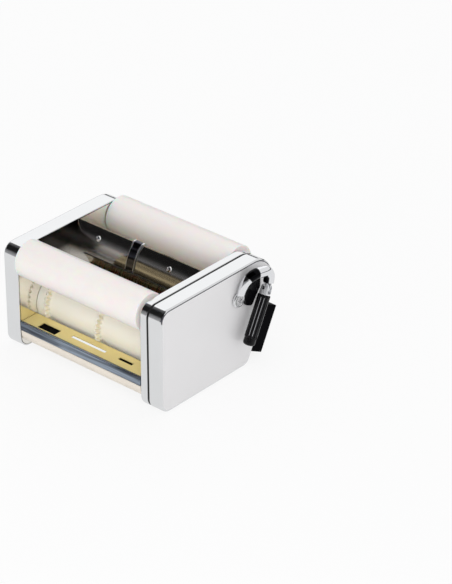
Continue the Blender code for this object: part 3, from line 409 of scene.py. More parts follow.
def make_roller_cream():
    """Cream plastic with painted shade, yellower on the ridges' flanks."""
    # side is the painted shade colour of the ridges' flanks
    crest, side = (0.97, 0.935, 0.83), (0.90, 0.82, 0.54)
    finish = Finish("cream_roller", crest, 0.0, 0.35,
                    **{"Subsurface Weight": 0.15, "Subsurface Scale": 0.003})
    finish.vary_roughness(finish.noise(60, 4), 0.32, 0.46)
    painted_flank_shade = finish.add("ShaderNodeVertexColor", layer_name="painted_flank_shade")
    cloud = finish.mapped(finish.noise(40, 4, None, 0.4), 0.0, 0.10)
    both = finish.combine("MAXIMUM", painted_flank_shade.outputs["Color"], cloud)
    finish.vary_colour(both, crest, side, 0.0, 1.0)
    finish.bump((finish.noise(14, 2), 0.00008, 0.5), (finish.noise(700, 2), 0.00002, 0.6))
    return finish.material


def make_panel():
    """Bright far plate, dark where the hopper shades it: high up and before its rear wall."""
    light, dark = (0.93, 0.90, 0.84), (0.07, 0.065, 0.06)
    finish = Finish("far_panel", light, 1.0, 0.12)
    finish.vary_roughness(finish.wipe_marks(), 0.10, 0.18)
    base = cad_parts["frame_plate_left"].matrix_world.translation
    parts = finish.add("ShaderNodeSeparateXYZ")
    finish.link(finish.place, parts.inputs["Vector"])
    rear_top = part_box("hopper_wall_rear")[1]
    top = rear_top.z - base.z
    up = finish.mapped(parts.outputs["Z"], 0.0, 1.0,
                       top - PANEL_SHADE_HEIGHT, top - PANEL_SHADE_FADE)
    back = rear_top.y - base.y
    before = finish.mapped(parts.outputs["Y"], 1.0, 0.0,
                           back - PANEL_SHADE_SOFT, back + PANEL_SHADE_SOFT)
    both = finish.combine("MULTIPLY", up, before)
    finish.vary_colour(both, light, dark, 0.0, 1.0)
    finish.polish(0.00003)
    return finish.material


CHROME = make_chrome("chrome_plate", (0.86, 0.87, 0.88), 0.05, 0.11, 0.00006)
SATIN = make_satin("satin_face", (0.90, 0.892, 0.896), 0.30, 0.50, 0.60)
# Dark chrome for the painted dark reflection on the cover's rim
RIM_PAINTED_REFLECTION = make_chrome("rim_painted_reflection", (0.14, 0.14, 0.16), 0.15, 0.25, 0.00001)
STRAP_RIM = make_satin("strap_rim", (0.92, 0.93, 0.96), 1.0, 0.42, 0.52)
MIRROR = make_chrome("mirror_steel", (0.93, 0.90, 0.84), 0.10, 0.18, 0.00003)
HOPPER_STEEL = make_chrome("hopper_steel", (0.52, 0.505, 0.49), 0.14, 0.21, 0.00001)
# Painted reflection: long dark and light streaks in the hopper front wall's colour
HOPPER_GOLD = make_painted_reflection_streaks("hopper_front_steel", (0.05, 0.035, 0.02), (0.66, 0.55, 0.34),
                            0.16, 0.26, (0.02, 2, 2))
STRAP_STEEL = make_chrome("strap_steel", (0.10, 0.10, 0.12), 0.10, 0.16, 0.00001)
FORK_STEEL = make_satin("fork_steel", (0.92, 0.93, 0.95), 0.70, 0.26, 0.36)
RIVET_STEEL = make_chrome("rivet_steel", (0.93, 0.93, 0.94), 0.08, 0.14, 0.00001)
# Painted shade: a dark finish for the hopper sheets' cut edges
SHEET_EDGE_PAINTED_SHADE = make_brushed("sheet_edge_painted_shade", (0.10, 0.10, 0.10), 0.40, 0.55, (0.1, 1, 1))
# Painted reflection: long dark and light streaks in the cross bar's colour
BAR_STEEL = make_painted_reflection_streaks("bar_steel", (0.06, 0.07, 0.09), (0.34, 0.40, 0.48),
                          0.14, 0.24, (0.05, 1, 1))
TURNED_STEEL = make_brushed("turned_steel", (0.66, 0.66, 0.67), 0.18, 0.32, (1, 0.05, 0.05))
GEAR_STEEL = make_brushed("gear_steel", (0.50, 0.50, 0.51), 0.28, 0.42, (0.3, 1, 1))
CRANK_CHROME = make_chrome("crank_chrome", (0.84, 0.85, 0.86), 0.06, 0.12, 0.00002)
# Chrome with a painted dark reflection, for the crank's arm
ARM_PAINTED_REFLECTION = make_painted_reflection_arm()
WHITE_ROLLER = make_plastic("white_roller", (0.885, 0.848, 0.82), 0.28, 0.42, 500, 0.00001, 0.98,
                            **{"Subsurface Weight": 0.50, "Subsurface Scale": 0.012})
CREAM_ROLLER = make_roller_cream()
CREAM_GUARD = make_plastic("cream_apron", (0.87, 0.80, 0.70), 0.32, 0.45, 700, 0.00002)
PLATE_YELLOW = make_satin("yellow_plate", (0.98, 0.82, 0.36), 0.35, 0.34, 0.46)
BLACK_GRIP = make_plastic("black_grip", (0.005, 0.005, 0.006), 0.17, 0.26, 2600, 0.00001, 0.7,
                          **{"Specular IOR Level": 0.2})
# Light grey for the painted highlights on the grip's rib crests
GRIP_PAINTED_HIGHLIGHT = make_plastic("grip_painted_highlight", (0.34, 0.34, 0.35), 0.20, 0.30, 2600, 0.00001, 0.85)
BLACK_BRACKET = make_plastic("black_bracket", (0.003, 0.003, 0.004), 0.34, 0.48, 1800, 0.00004, 0.7,
                             **{"Specular IOR Level": 0.12, "IOR": 1.12})
SEAM_RUBBER = make_plastic("seam_rubber", (0.012, 0.012, 0.012), 0.55, 0.75, 1500, 0.00003, 0.7)


# Pieces
def add_piece(name, bm, material, body, replaces=(), sharp=SHARP_ANGLE):
    """Turn a mesh into a piece with smooth faces and true edges, riding on a body."""
    bmesh.ops.remove_doubles(bm, verts=bm.verts, dist=MERGE_DISTANCE)
    bmesh.ops.recalc_face_normals(bm, faces=bm.faces)
    mesh = bpy.data.meshes.new(name)
    bm.to_mesh(mesh)
    bm.free()
    mesh.polygons.foreach_set("use_smooth", [True] * len(mesh.polygons))
    mesh.set_sharp_from_angle(angle=math.radians(sharp))
    mesh.materials.append(material)
    piece = bpy.data.objects.new(name, mesh)
    bpy.context.scene.collection.objects.link(piece)
    even = piece.modifiers.new("even_shading", "WEIGHTED_NORMAL")
    even.keep_sharp = True
    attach(piece, body)
    if replaces:
        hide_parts(*replaces)
    return piece


def cut_piece(piece, bm):
    """Take a solid out of a piece and keep the result as its mesh."""
    bmesh.ops.recalc_face_normals(bm, faces=bm.faces)
    mesh = bpy.data.meshes.new("cutter")
    bm.to_mesh(mesh)
    bm.free()
    cutter = bpy.data.objects.new("cutter", mesh)
    bpy.context.scene.collection.objects.link(cutter)
    boolean = piece.modifiers.new("cut", "BOOLEAN")
    boolean.operation = "DIFFERENCE"
    boolean.solver = "EXACT"
    boolean.object = cutter
    piece.modifiers.move(len(piece.modifiers) - 1, 0)
    shading = piece.modifiers["even_shading"]
    shading.show_viewport = False
    bpy.context.view_layer.update()
    evaluated = piece.evaluated_get(bpy.context.evaluated_depsgraph_get())
    made = bpy.data.meshes.new_from_object(evaluated)
    piece.modifiers.remove(boolean)
    shading.show_viewport = True
    piece.data = made
    bpy.data.objects.remove(cutter)


def add_bevel(piece, width):
    """Round the sharp edges that a piece has at this place in its modifiers."""
    bevel = piece.modifiers.new("soft_edges", "BEVEL")
    bevel.width = width
    bevel.segments = BEVEL_SEGMENTS
    bevel.limit_method = "ANGLE"
    bevel.angle_limit = BEVEL_ANGLE


def dress(name, material, bevel=0.0):
    """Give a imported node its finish, with softened edges."""
    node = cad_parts[name]
    for slot in node.material_slots:
        slot.link = "OBJECT"
        slot.material = material
    weld = node.modifiers.new("weld", "WELD")
    weld.merge_threshold = WELD_DISTANCE
    if bevel:
        add_bevel(node, bevel)
    even = node.modifiers.new("even_shading", "WEIGHTED_NORMAL")
    even.keep_sharp = True


def loft(rings, closed=False):
    """Join rings of equal length; cap the ends unless the rings close on themselves."""
    bm = bmesh.new()
    made = [[bm.verts.new(point) for point in ring] for ring in rings]
    count = len(made[0])
    pairs = list(zip(made, made[1:]))
    if closed:
        pairs.append((made[-1], made[0]))
    for first, second in pairs:
        for k in range(count):
            n = (k + 1) % count
            bm.faces.new((first[k], first[n], second[n], second[k]))
    if not closed:
        bm.faces.new(made[0])
        bm.faces.new(made[-1])
    return bm


def along(start, line, side, stations, facets, shape=None):
    """Rings turned about a line, from (distance, radius) stations."""
    across = line.cross(side)
    rings = []
    for distance, radius in stations:
        ring = []
        for k in range(facets):
            angle = 2 * math.pi * k / facets
            r = radius - (shape(angle) if shape else 0)
            out = side * math.cos(angle) + across * math.sin(angle)
            ring.append(start + line * distance + out * r)
        rings.append(ring)
    return rings


def turned(centre, stations, facets, closed=False):
    """A piece turned about an axis along x through a point, from (x, radius) stations."""
    start = Vector((0, centre.y, centre.z))
    return loft(along(start, Vector((1, 0, 0)), Vector((0, 1, 0)), stations, facets), closed)


def rounded(first, second, radius_first, radius_second, steps):
    """Stations round a quarter turn from (x, radius) first to second."""
    stations = []
    for k in range(steps + 1):
        angle = math.pi / 2 * k / steps
        x = first + (second - first) * math.sin(angle)
        radius = radius_first + (radius_second - radius_first) * (1 - math.cos(angle))
        stations.append((x, radius))
    return stations


def heading(run, k):
    """The direction of a run of points at its point k."""
    return (run[min(k + 1, len(run) - 1)] - run[max(k - 1, 0)]).normalized()


# Side housings
OUTLINE_CORNERS = (
    ((FRONT, 0.0), FRONT_RADIUS),
    ((BACK - LEAN_FOOT, 0.0), BACK_FOOT_RADIUS),
    ((BACK, LEAN_START), LEAN_RADIUS),
    ((BACK, TOP), BACK_TOP_RADIUS),
    ((FRONT, TOP), FRONT_RADIUS),
)


def outline_ring(x, inset):
    """The side frames' outline at x, moved inwards by an inset."""
    corners = [Vector(corner) for corner, _ in OUTLINE_CORNERS]
    count = len(corners)
    points = []
    for k, (_, radius) in enumerate(OUTLINE_CORNERS):
        before = (corners[k] - corners[k - 1]).normalized()
        after = (corners[(k + 1) % count] - corners[k]).normalized()
        normal_before = Vector((-before.y, before.x))
        normal_after = Vector((-after.y, after.x))
        half_turn = math.atan2(before.cross(after), before.dot(after)) / 2
        inward = (normal_before + normal_after).normalized()
        centre = corners[k] + inward * (radius / math.cos(half_turn))
        first = math.atan2(-normal_before.y, -normal_before.x)
        for step in range(CORNER_STEPS + 1):
            angle = first + 2 * half_turn * step / CORNER_STEPS
            point = centre + (radius - inset) * Vector((math.cos(angle), math.sin(angle)))
            points.append(Vector((x, point.x, point.y)))
    return points


def pressed_shell(open_x, face_x):
    """A pressed sheet box, open at one end, with a rounded edge and a softened lip."""
    out = 1 if face_x > open_x else -1
    rings = []
    inner = EDGE_RADIUS - SHEET
    for step in range(EDGE_STEPS, -1, -1):
        angle = math.pi / 2 * step / EDGE_STEPS
        x = face_x - out * (SHEET + inner * (1 - math.sin(angle)))
        rings.append(outline_ring(x, SHEET + inner * (1 - math.cos(angle))))
    rings.append(outline_ring(open_x + out * LIP_RADIUS, SHEET))
    rings.append(outline_ring(open_x, SHEET - LIP_RADIUS))
    rings.append(outline_ring(open_x, LIP_RADIUS))
    rings.append(outline_ring(open_x + out * LIP_RADIUS, 0))
    for step in range(EDGE_STEPS + 1):
        angle = math.pi / 2 * step / EDGE_STEPS
        x = face_x - out * EDGE_RADIUS * (1 - math.sin(angle))
        rings.append(outline_ring(x, EDGE_RADIUS * (1 - math.cos(angle))))
    return loft(rings)


def hole(x, centre, radius):
    """A cutter through a sheet at x."""
    return turned(centre, [(x - 3 * SHEET, radius), (x + 3 * SHEET, radius)], HOLE_FACETS)


def bush_radius(name):
    """A bush's sleeve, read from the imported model: the radius that the sheet's hole fits."""
    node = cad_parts[name]
    centre = middle(name)
    inside = min(abs(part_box(name)[0].x), abs(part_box(name)[1].x))
    radii = [math.hypot(v.co.y - centre.y, v.co.z - centre.z) for v in node.data.vertices
             if abs(abs(v.co.x) - inside) < ON_EDGE]
    return max(radii) + BORE_GAP


def build_housings():
    """The two pressed covers and the near frame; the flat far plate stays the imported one."""
    near_frame = pressed_shell(near_high.x, NEAR_PANEL)
    near_frame = add_piece("near_frame", near_frame, CHROME, "frame", ("frame_plate_right",))
    for bush in ("forming_bush_front_right", "forming_bush_rear_right", "dough_bush_front_right",
                 "dough_bush_rear_right", "crank_bush_frame"):
        cut_piece(near_frame, hole(NEAR_PANEL, middle(bush), bush_radius(bush)))
    cover = pressed_shell(cover_low.x, COVER_FACE)
    cover = add_piece("near_cover", cover, CHROME, "frame", ("cover_right",))
    cut_piece(cover, hole(COVER_FACE, CRANK, bush_radius("crank_bush_frame")))
    cap = add_piece("far_cap", pressed_shell(cap_high.x, cap_low.x), CHROME, "frame", ("cap_left",))
    for shell, face_x in ((cover, COVER_FACE), (cap, cap_low.x)):
        shell.data.materials.append(SATIN)
        for polygon in shell.data.polygons:
            if abs(polygon.center.x - face_x) < ON_FACE:
                polygon.material_index = 1
    # Painted dark reflection: a thin strip of the cover's rounded rim near the top, wider at the
    # front top corner, gets dark chrome
    cover.data.materials.append(RIM_PAINTED_REFLECTION)
    for polygon in cover.data.polygons:
        at = polygon.center
        corner = (FRONT + RIM_CORNER_FRONT < at.y < FRONT + FRONT_RADIUS / 2
                  and TOP - FRONT_RADIUS < at.z < TOP - RIM_CORNER_TOP)
        depth = RIM_CORNER_DEPTH if corner else RIM_DEPTH
        if ON_FACE < COVER_FACE - at.x < depth and at.z > TOP - RIM_DROP:
            polygon.material_index = 2
    dress("frame_plate_left", make_panel())
    dress("cover_gasket", SEAM_RUBBER)


# Rollers
def build_dough_rollers():
    """Smooth rollers with softened ends."""
    for end in ("front", "rear"):
        name = f"dough_roller_{end}"
        low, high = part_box(name)
        radius = half_height(name)
        bore = half_height(f"dough_axle_{end}") + BORE_GAP
        soft = (radius, radius - DOUGH_EDGE, DOUGH_EDGE_STEPS)
        stations = rounded(low.x + DOUGH_EDGE, low.x, *soft)[::-1]
        stations += rounded(high.x - DOUGH_EDGE, high.x, *soft)
        stations += [(high.x, bore), (low.x, bore)]
        piece = turned(middle(name), stations, ROLLER_FACETS, closed=True)
        body = f"{end}_dough_roller"
        add_piece(f"smooth_roller_{end}", piece, WHITE_ROLLER, body, (name,))
        dress(f"dough_axle_{end}", TURNED_STEEL, 0.0003)


def zigzag(along_it):
    """A triangle wave from -1 to 1 with the crimp's period."""
    share = (along_it / RIDGE_PERIOD) % 1.0
    return 4 * np.abs(share - 0.5) - 1


def build_forming_roller(end, start_angle):
    """A pocketed roller whose ridges run in a crimping zigzag."""
    name = f"forming_roller_{end}"
    low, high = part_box(name)
    centre = middle(f"forming_shaft_{end}")
    radius = high.z - centre.z
    half = (high.x - low.x) / 2
    middle_x = (high.x + low.x) / 2
    across = np.linspace(-half, half, int(2 * half / FORMING_STEP) + 1)
    count = int(2 * math.pi * radius / FORMING_STEP)
    angles = start_angle + np.arange(count) * 2 * math.pi / count
    u, turn = np.meshgrid(across, angles, indexing="ij")
    arc = (turn - start_angle) * radius
    pocket_arc = 2 * math.pi * radius / POCKETS_ROUND
    column = np.abs(u - np.round(u / POCKET_PITCH) * POCKET_PITCH + RIDGE_ZIGZAG * zigzag(arc))
    row = np.abs(arc - np.round(arc / pocket_arc) * pocket_arc + RIDGE_ZIGZAG * zigzag(u))
    nearest = np.minimum(column, row)
    rise = np.clip((RIDGE_HALF + RIDGE_SLOPE - nearest) / RIDGE_SLOPE, 0, 1)
    rise = rise * rise * (3 - 2 * rise)
    crown = np.clip(1 - (nearest / (POCKET_PITCH / 2)), 0, 1)
    height = radius - POCKET_DEPTH * (1 - rise) - POCKET_CROWN * crown * (1 - rise)
    margin = np.abs(u + RIDGE_ZIGZAG * zigzag(arc) * np.sign(u)) > POCKET_PITCH + RIDGE_HALF
    height = np.where(margin, radius - MARGIN_DEPTH, height)
    # Painted shade: the ridges' flanks are marked for a yellower colour
    marks = np.where(margin, 0, FLANK_PAINTED_SHADE * rise * (1 - rise))

    def ring(x, radii):
        return [Vector((x, centre.y + r * math.cos(a), centre.z + r * math.sin(a)))
                for r, a in zip(radii, angles)]

    rings = [ring(middle_x + across[i], height[i]) for i in range(len(across))]
    bore = half_height(f"forming_shaft_{end}") + BORE_GAP
    rings += [ring(x, [bore] * count) for x in (high.x, low.x)]
    bm = loft(rings, closed=True)
    bm.verts.index_update()
    colour = bm.verts.layers.float_color.new("painted_flank_shade")
    for vert, mark in zip(bm.verts, list(marks.ravel()) + [0] * (2 * count)):
        vert[colour] = (mark, mark, mark, 1)
    body = f"{end}_forming_roller"
    add_piece(f"pocket_roller_{end}", bm, CREAM_ROLLER, body, (name,), sharp=60)


# Hopper
def curve(top, bend, foot, start=0.0):
    """Points on a smooth (y, z) run from top to foot, pulled towards bend."""
    points = []
    for k in range(HOPPER_STEPS + 1):
        t = start + (1 - start) * k / HOPPER_STEPS
        points.append(top * (1 - t) ** 2 + bend * (2 * t * (1 - t)) + foot * t ** 2)
    return points


def sheet_grid(columns, thickness):
    """A sheet from columns of (x, [(y, z) points]), thickened to one side."""
    bm = bmesh.new()
    fronts = []
    backs = []
    for x, run in columns:
        front = []
        back = []
        for k, point in enumerate(run):
            step = heading(run, k)
            moved = point + Vector((-step.y, step.x)) * thickness
            front.append(bm.verts.new((x, point.x, point.y)))
            back.append(bm.verts.new((x, moved.x, moved.y)))
        fronts.append(front)
        backs.append(back)
    last = len(fronts) - 1
    rows = len(fronts[0]) - 1
    for i in range(last):
        for k in range(rows):
            bm.faces.new((fronts[i][k], fronts[i + 1][k],
                          fronts[i + 1][k + 1], fronts[i][k + 1]))
            bm.faces.new((backs[i][k], backs[i][k + 1],
                          backs[i + 1][k + 1], backs[i + 1][k]))
        for k in (0, rows):
            edge = bm.faces.new((fronts[i][k], backs[i][k], backs[i + 1][k], fronts[i + 1][k]))
            edge.material_index = 1
    for i in (0, last):
        for k in range(rows):
            edge = bm.faces.new((fronts[i][k], fronts[i][k + 1], backs[i][k + 1], backs[i][k]))
            edge.material_index = 1
    return bm


def soften(piece, width):
    """Round a piece's sharp edges before its other modifiers."""
    add_bevel(piece, width)
    piece.modifiers.move(len(piece.modifiers) - 1, 0)


def build_hopper():
    """The bent walls, and the rear wall's strap and two rivets."""
    axis = middle("dough_roller_front")
    start = Vector((axis.y, axis.z))
    foot_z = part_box("hopper_wall_rear")[0].z
    rear = [start + Vector(HOPPER_REAR_TOP), start + Vector(HOPPER_REAR_BEND),
            Vector((start.x + HOPPER_REAR_FOOT, foot_z))]
    front = [start + Vector(HOPPER_FRONT_TOP), start + Vector(HOPPER_FRONT_BEND),
             Vector((start.x + HOPPER_FRONT_FOOT, foot_z))]
    low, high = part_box("hopper_wall_rear")
    run = curve(*rear)
    rear_wall = sheet_grid([(low.x - GAP / 2, run), (high.x + GAP / 2, run)], HOPPER_THICK)
    rear_wall = add_piece("hopper_rear", rear_wall, HOPPER_STEEL, "frame",
                          ("hopper_wall_rear",))
    # Painted shade: the rear wall's cut edges take the dark edge finish
    for material in (SHEET_EDGE_PAINTED_SHADE, MIRROR):
        rear_wall.data.materials.append(material)
    for polygon in rear_wall.data.polygons:
        if polygon.material_index == 0 and polygon.normal.y > 0:
            polygon.material_index = 2
    low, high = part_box("hopper_wall_front")
    length = (front[0] - front[2]).length
    columns = []
    offsets = [HOPPER_CORNER * (1 - math.cos(math.pi / 2 * k / HOPPER_CORNER_STEPS))
               for k in range(HOPPER_CORNER_STEPS + 1)]
    places = [low.x + o for o in offsets] + [high.x - o for o in reversed(offsets)]
    for x in places:
        inside = min(x - low.x, high.x - x, HOPPER_CORNER)
        level = math.sqrt(max(HOPPER_CORNER ** 2 - (HOPPER_CORNER - inside) ** 2, 0))
        columns.append((x, curve(*front, (HOPPER_CORNER - level) / length)))
    front_wall = sheet_grid(columns, -HOPPER_THICK)
    front_wall = add_piece("hopper_front", front_wall, HOPPER_GOLD, "frame",
                           ("hopper_wall_front",))
    soften(front_wall, 0.0003)
    # Painted shade: the front wall's cut edges take the dark edge finish
    front_wall.data.materials.append(SHEET_EDGE_PAINTED_SHADE)
    build_strap(curve(*rear)[:int(STRAP_SHARE * HOPPER_STEPS)])
    for side in ("left", "right"):
        dress(f"hopper_rivet_{side}", RIVET_STEEL, 0.0006)


def build_strap(wall):
    """The band over the rear wall's top edge and down its face, along the wall's run of points."""
    low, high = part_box("hopper_strap")
    face = []
    for k, point in enumerate(wall):
        step = heading(wall, k)
        face.append(point + Vector((step.y, -step.x)) * GAP)
    top = high.z - STRAP_THICK
    hook = [Vector((high.y + y, top + z)) for y, z in STRAP_HOOK_BACK]
    hook += [Vector((face[0].x + y, top + z)) for y, z in STRAP_HOOK_FRONT]
    run = hook + face[1:]
    centre_x = (low.x + high.x) / 2
    half = (high.x - low.x) / 2
    strap = sheet_grid([(centre_x + share * half, run) for share in STRAP_COLUMNS],
                       -STRAP_THICK)
    for vert in strap.verts:
        share = (vert.co.x - centre_x) / half
        upper = max(0, 1 - (high.z - vert.co.z) / ((high.z - low.z) * STRAP_FLARE_SPAN))
        vert.co.x += math.copysign(STRAP_FLARE * upper ** 2, share) * abs(share)
        if abs(vert.co.x - centre_x) < half * STRAP_SUNK_SHARE:
            vert.co.y += STRAP_SUNK
    for polygon in strap.faces:
        if abs(polygon.calc_center_median().x - centre_x) > half * STRAP_RIM_SHARE:
            polygon.material_index = 1
    strap = add_piece("hopper_band", strap, STRAP_STEEL, "frame", ("hopper_strap",))
    soften(strap, 0.00025)
    strap.data.materials.append(STRAP_RIM)


# Crank
def swept(path, sizes, facets):
    """A rounded bar along a path in a plane square to x, from half widths along x and across."""
    rings = []
    for k, point in enumerate(path):
        step = heading(path, k)
        across = step.cross(Vector((1, 0, 0))).normalized()
        side = across.cross(step)
        thick, wide = sizes[k]
        ring = []
        for f in range(facets):
            angle = 2 * math.pi * f / facets
            ring.append(point + side * (thick * math.cos(angle))
                        + across * (wide * math.sin(angle)))
        rings.append(ring)
    return rings


def smooth_run(points):
    """Points on a smooth curve through each of the given points."""
    run = [points[0]]
    for k in range(len(points) - 1):
        a = points[max(k - 1, 0)]
        b, c = points[k], points[k + 1]
        d = points[min(k + 2, len(points) - 1)]
        for step in range(1, ARM_STEPS + 1):
            t = step / ARM_STEPS
            run.append(0.5 * (2 * b + (c - a) * t + (2 * a - 5 * b + 4 * c - d) * t ** 2
                              + (3 * b - a - 3 * c + d) * t ** 3))
    return run


def build_hub():
    """The crank's hub, with a groove round its face and a sink for its screw."""
    low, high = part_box("crank_hub")
    radius = half_height("crank_hub")
    bore = half_height("crank_shaft") + BORE_GAP
    sink = half_height("crank_screw") + GAP
    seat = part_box("crank_screw")[0].x - GAP
    groove = (HUB_GROOVE, HUB_GROOVE + HUB_GROOVE_WIDTH)
    groove_floor = high.x - HUB_GROOVE_WIDTH
    stations = [(low.x, radius - HUB_BACK_EDGE), (low.x + HUB_BACK_EDGE, radius)]
    stations += rounded(high.x - HUB_LIP, high.x, radius, radius - HUB_LIP, HUB_LIP_STEPS)
    stations += [(high.x, groove[1]), (groove_floor, groove[1]),
                 (groove_floor, groove[0]), (high.x, groove[0])]
    stations += [(high.x, sink + HUB_SINK_EDGE), (high.x - HUB_SINK_EDGE, sink),
                 (seat, sink), (seat, bore), (low.x, bore)]
    hub = turned(CRANK, stations, TURNED_FACETS, closed=True)
    hub = add_piece("hub", hub, CRANK_CHROME, "crank", ("crank_hub",))
    hub.data.materials.append(SEAM_RUBBER)
    for polygon in hub.data.polygons:
        out = math.hypot(polygon.center.y - CRANK.y, polygon.center.z - CRANK.z)
        if groove[0] - ON_EDGE < out < groove[1] + ON_EDGE and polygon.center.x > seat:
            polygon.material_index = 1
    dress("crank_screw", TURNED_STEEL, 0.00025)


def build_arm():
    """The arched arm from the hub to the grip's fold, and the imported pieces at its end."""
    root = CRANK + Vector((ARM_ROOT_STANDOFF, 0, 0))
    lift = GRIP_START.x - root.x
    run_in = FOLD_POINT - GRIP_LINE * (KNUCKLE_RADIUS + SHOULDER_LENGTH)
    bend_centre = run_in + FOLD_AXIS * ARM_BEND
    guide = [root]
    for out, back, up in (ARM_RISE, ARM_SHOULDER, ARM_CROWN):
        guide.append(root + Vector((lift * out, back, up)))
    squeezed = len(guide) - 1
    last = math.atan2(-FOLD_AXIS.z, -FOLD_AXIS.y)
    for share in ARM_BEND_SHARES:
        angle = math.pi / 2 + (last - math.pi / 2) * share
        guide.append(bend_centre + ARM_BEND * Vector((0, math.cos(angle), math.sin(angle))))
    path = smooth_run(guide)
    sizes = []
    for k in range(len(path)):
        share = min(1, k / (squeezed * ARM_STEPS))
        sizes.append((ARM_ROOT_THICK + (ARM_RADIUS - ARM_ROOT_THICK) * share, ARM_RADIUS))
    start = half_height("crank_hub") - ARM_START_INSET
    first = next(k for k, p in enumerate(path)
                 if math.hypot(p.y - CRANK.y, p.z - CRANK.z) > start)
    rings = swept(path, sizes, ARM_FACETS)[first:]
    side = FOLD_AXIS.cross(GRIP_LINE)
    ends = [(-KNUCKLE_RADIUS - 3 * GAP, ARM_RADIUS, ARM_RADIUS),
            (-KNUCKLE_RADIUS - 2 * GAP, TONGUE_RADIUS, TONGUE_HALF),
            (0, TONGUE_RADIUS, TONGUE_HALF)]
    for angle in TONGUE_ANGLES:
        ends.append((TONGUE_RADIUS * math.sin(angle), TONGUE_RADIUS * math.cos(angle), TONGUE_HALF))
    for distance, thick, wide in ends:
        ring = []
        for f in range(ARM_FACETS):
            angle = 2 * math.pi * f / ARM_FACETS
            ring.append(FOLD_POINT + GRIP_LINE * distance + side * (thick * math.cos(angle))
                        + FOLD_AXIS * (wide * math.sin(angle)))
        rings.append(ring)
    arm = loft(rings)
    # Painted dark reflection: the shoulder band and the arch's inner side get a black base colour
    # through the shade layer
    shade = arm.verts.layers.float_color.new("shade")
    arm.verts.ensure_lookup_table()
    bend = len(path) - first
    for k in range(len(rings)):
        share = k / bend
        for f in range(ARM_FACETS):
            inner = math.sin(2 * math.pi * f / ARM_FACETS)
            black = 0.0
            if share < ARM_PAINTED_DARK[1]:
                black = max((share - ARM_PAINTED_DARK[0]) / ARM_PAINTED_DARK_SOFT,
                            (inner - ARM_INNER_PAINTED_DARK[0]) / ARM_INNER_SOFT)
            elif share < 1:
                black = max((ARM_PAINTED_DARK[1] + ARM_PAINTED_DARK_SOFT - share) / ARM_PAINTED_DARK_SOFT,
                            (inner - ARM_INNER_PAINTED_DARK[1]) / ARM_INNER_SOFT)
            black = min(max(black, 0.0), 1.0)
            arm.verts[k * ARM_FACETS + f][shade] = (black, black, black, 1)
    add_piece("arm", arm, ARM_PAINTED_REFLECTION, "crank", ("crank_arm",))
    dress("grip_rest", BLACK_GRIP, 0.0008)
    dress("fold_pin", TURNED_STEEL, 0.0003)
    dress("grip_spindle", FORK_STEEL, 0.0002)


def build_grip():
    """The ribbed sleeve with rounded ends, and its smooth end cap."""
    side = Vector((1, 0, 0))
    length = (Vector(GRIP_FOOT) - Vector(GRIP_TOP)).length
    sleeve_end = KNUCKLE_REACH + length - CAP_LENGTH
    turn = math.pi / GRIP_RIBS
    facets = GRIP_RIBS * GRIP_RIB_FACETS

    def rib(angle):
        return GRIP_RIB_DEPTH * (1 - (0.5 + 0.5 * math.cos(GRIP_RIBS * (angle - turn))) ** 2)

    soft = (GRIP_RADIUS, GRIP_RADIUS - GRIP_SOFT, GRIP_SOFT_STEPS)
    body = rounded(KNUCKLE_REACH + GRIP_SOFT, KNUCKLE_REACH, *soft)[::-1]
    span = sleeve_end - KNUCKLE_REACH - 2 * GRIP_SOFT
    body += [(KNUCKLE_REACH + GRIP_SOFT + span * k / GRIP_STATIONS, GRIP_RADIUS)
             for k in range(1, GRIP_STATIONS)]
    body += rounded(sleeve_end - GRIP_SOFT, sleeve_end, *soft)
    bore = [(sleeve_end, GRIP_BORE), (KNUCKLE_REACH, GRIP_BORE)]
    rings = along(FOLD_POINT, GRIP_LINE, side, body, facets, rib)
    rings += along(FOLD_POINT, GRIP_LINE, side, bore, facets)
    sleeve = loft(rings, closed=True)
    sleeve = add_piece("grip_ribs", sleeve, BLACK_GRIP, "grip", ("grip_sleeve",), sharp=50)
    # Painted highlight: light grey lines along the rib crests at the listed angles
    sleeve.data.materials.append(GRIP_PAINTED_HIGHLIGHT)
    up = GRIP_LINE.cross(side)
    for polygon in sleeve.data.polygons:
        out = polygon.center - FOLD_POINT
        angle = math.degrees(math.atan2(out.dot(up), out.dot(side))) % 180
        distance = out.dot(GRIP_LINE)
        outer = (out - GRIP_LINE * distance).length > GRIP_RADIUS - GRIP_RIB_DEPTH
        inside = KNUCKLE_REACH + 2 * GRIP_SOFT < distance < sleeve_end - 2 * GRIP_SOFT
        if outer and inside and any(abs(angle - crest) < half for crest, half in GRIP_PAINTED_HIGHLIGHT_CRESTS):
            polygon.material_index = 1
    low = sleeve_end + GAP
    high = KNUCKLE_REACH + length
    wide = GRIP_RADIUS * CAP_SHARE
    stations = [(low, wide - CAP_EDGE), (low + CAP_EDGE, wide)]
    stations += rounded(high - CAP_CROWN, high, wide, wide * CAP_TIP_SHARE, CAP_STEPS)
    rings = along(FOLD_POINT, GRIP_LINE, side, stations, TURNED_FACETS)
    add_piece("grip_end", loft(rings), BLACK_GRIP, "grip_frame", ("grip_cap",))


build_housings()
build_dough_rollers()
build_forming_roller("front", 0.0)
build_forming_roller("rear", math.pi)
build_hopper()
build_hub()
build_arm()
build_grip()

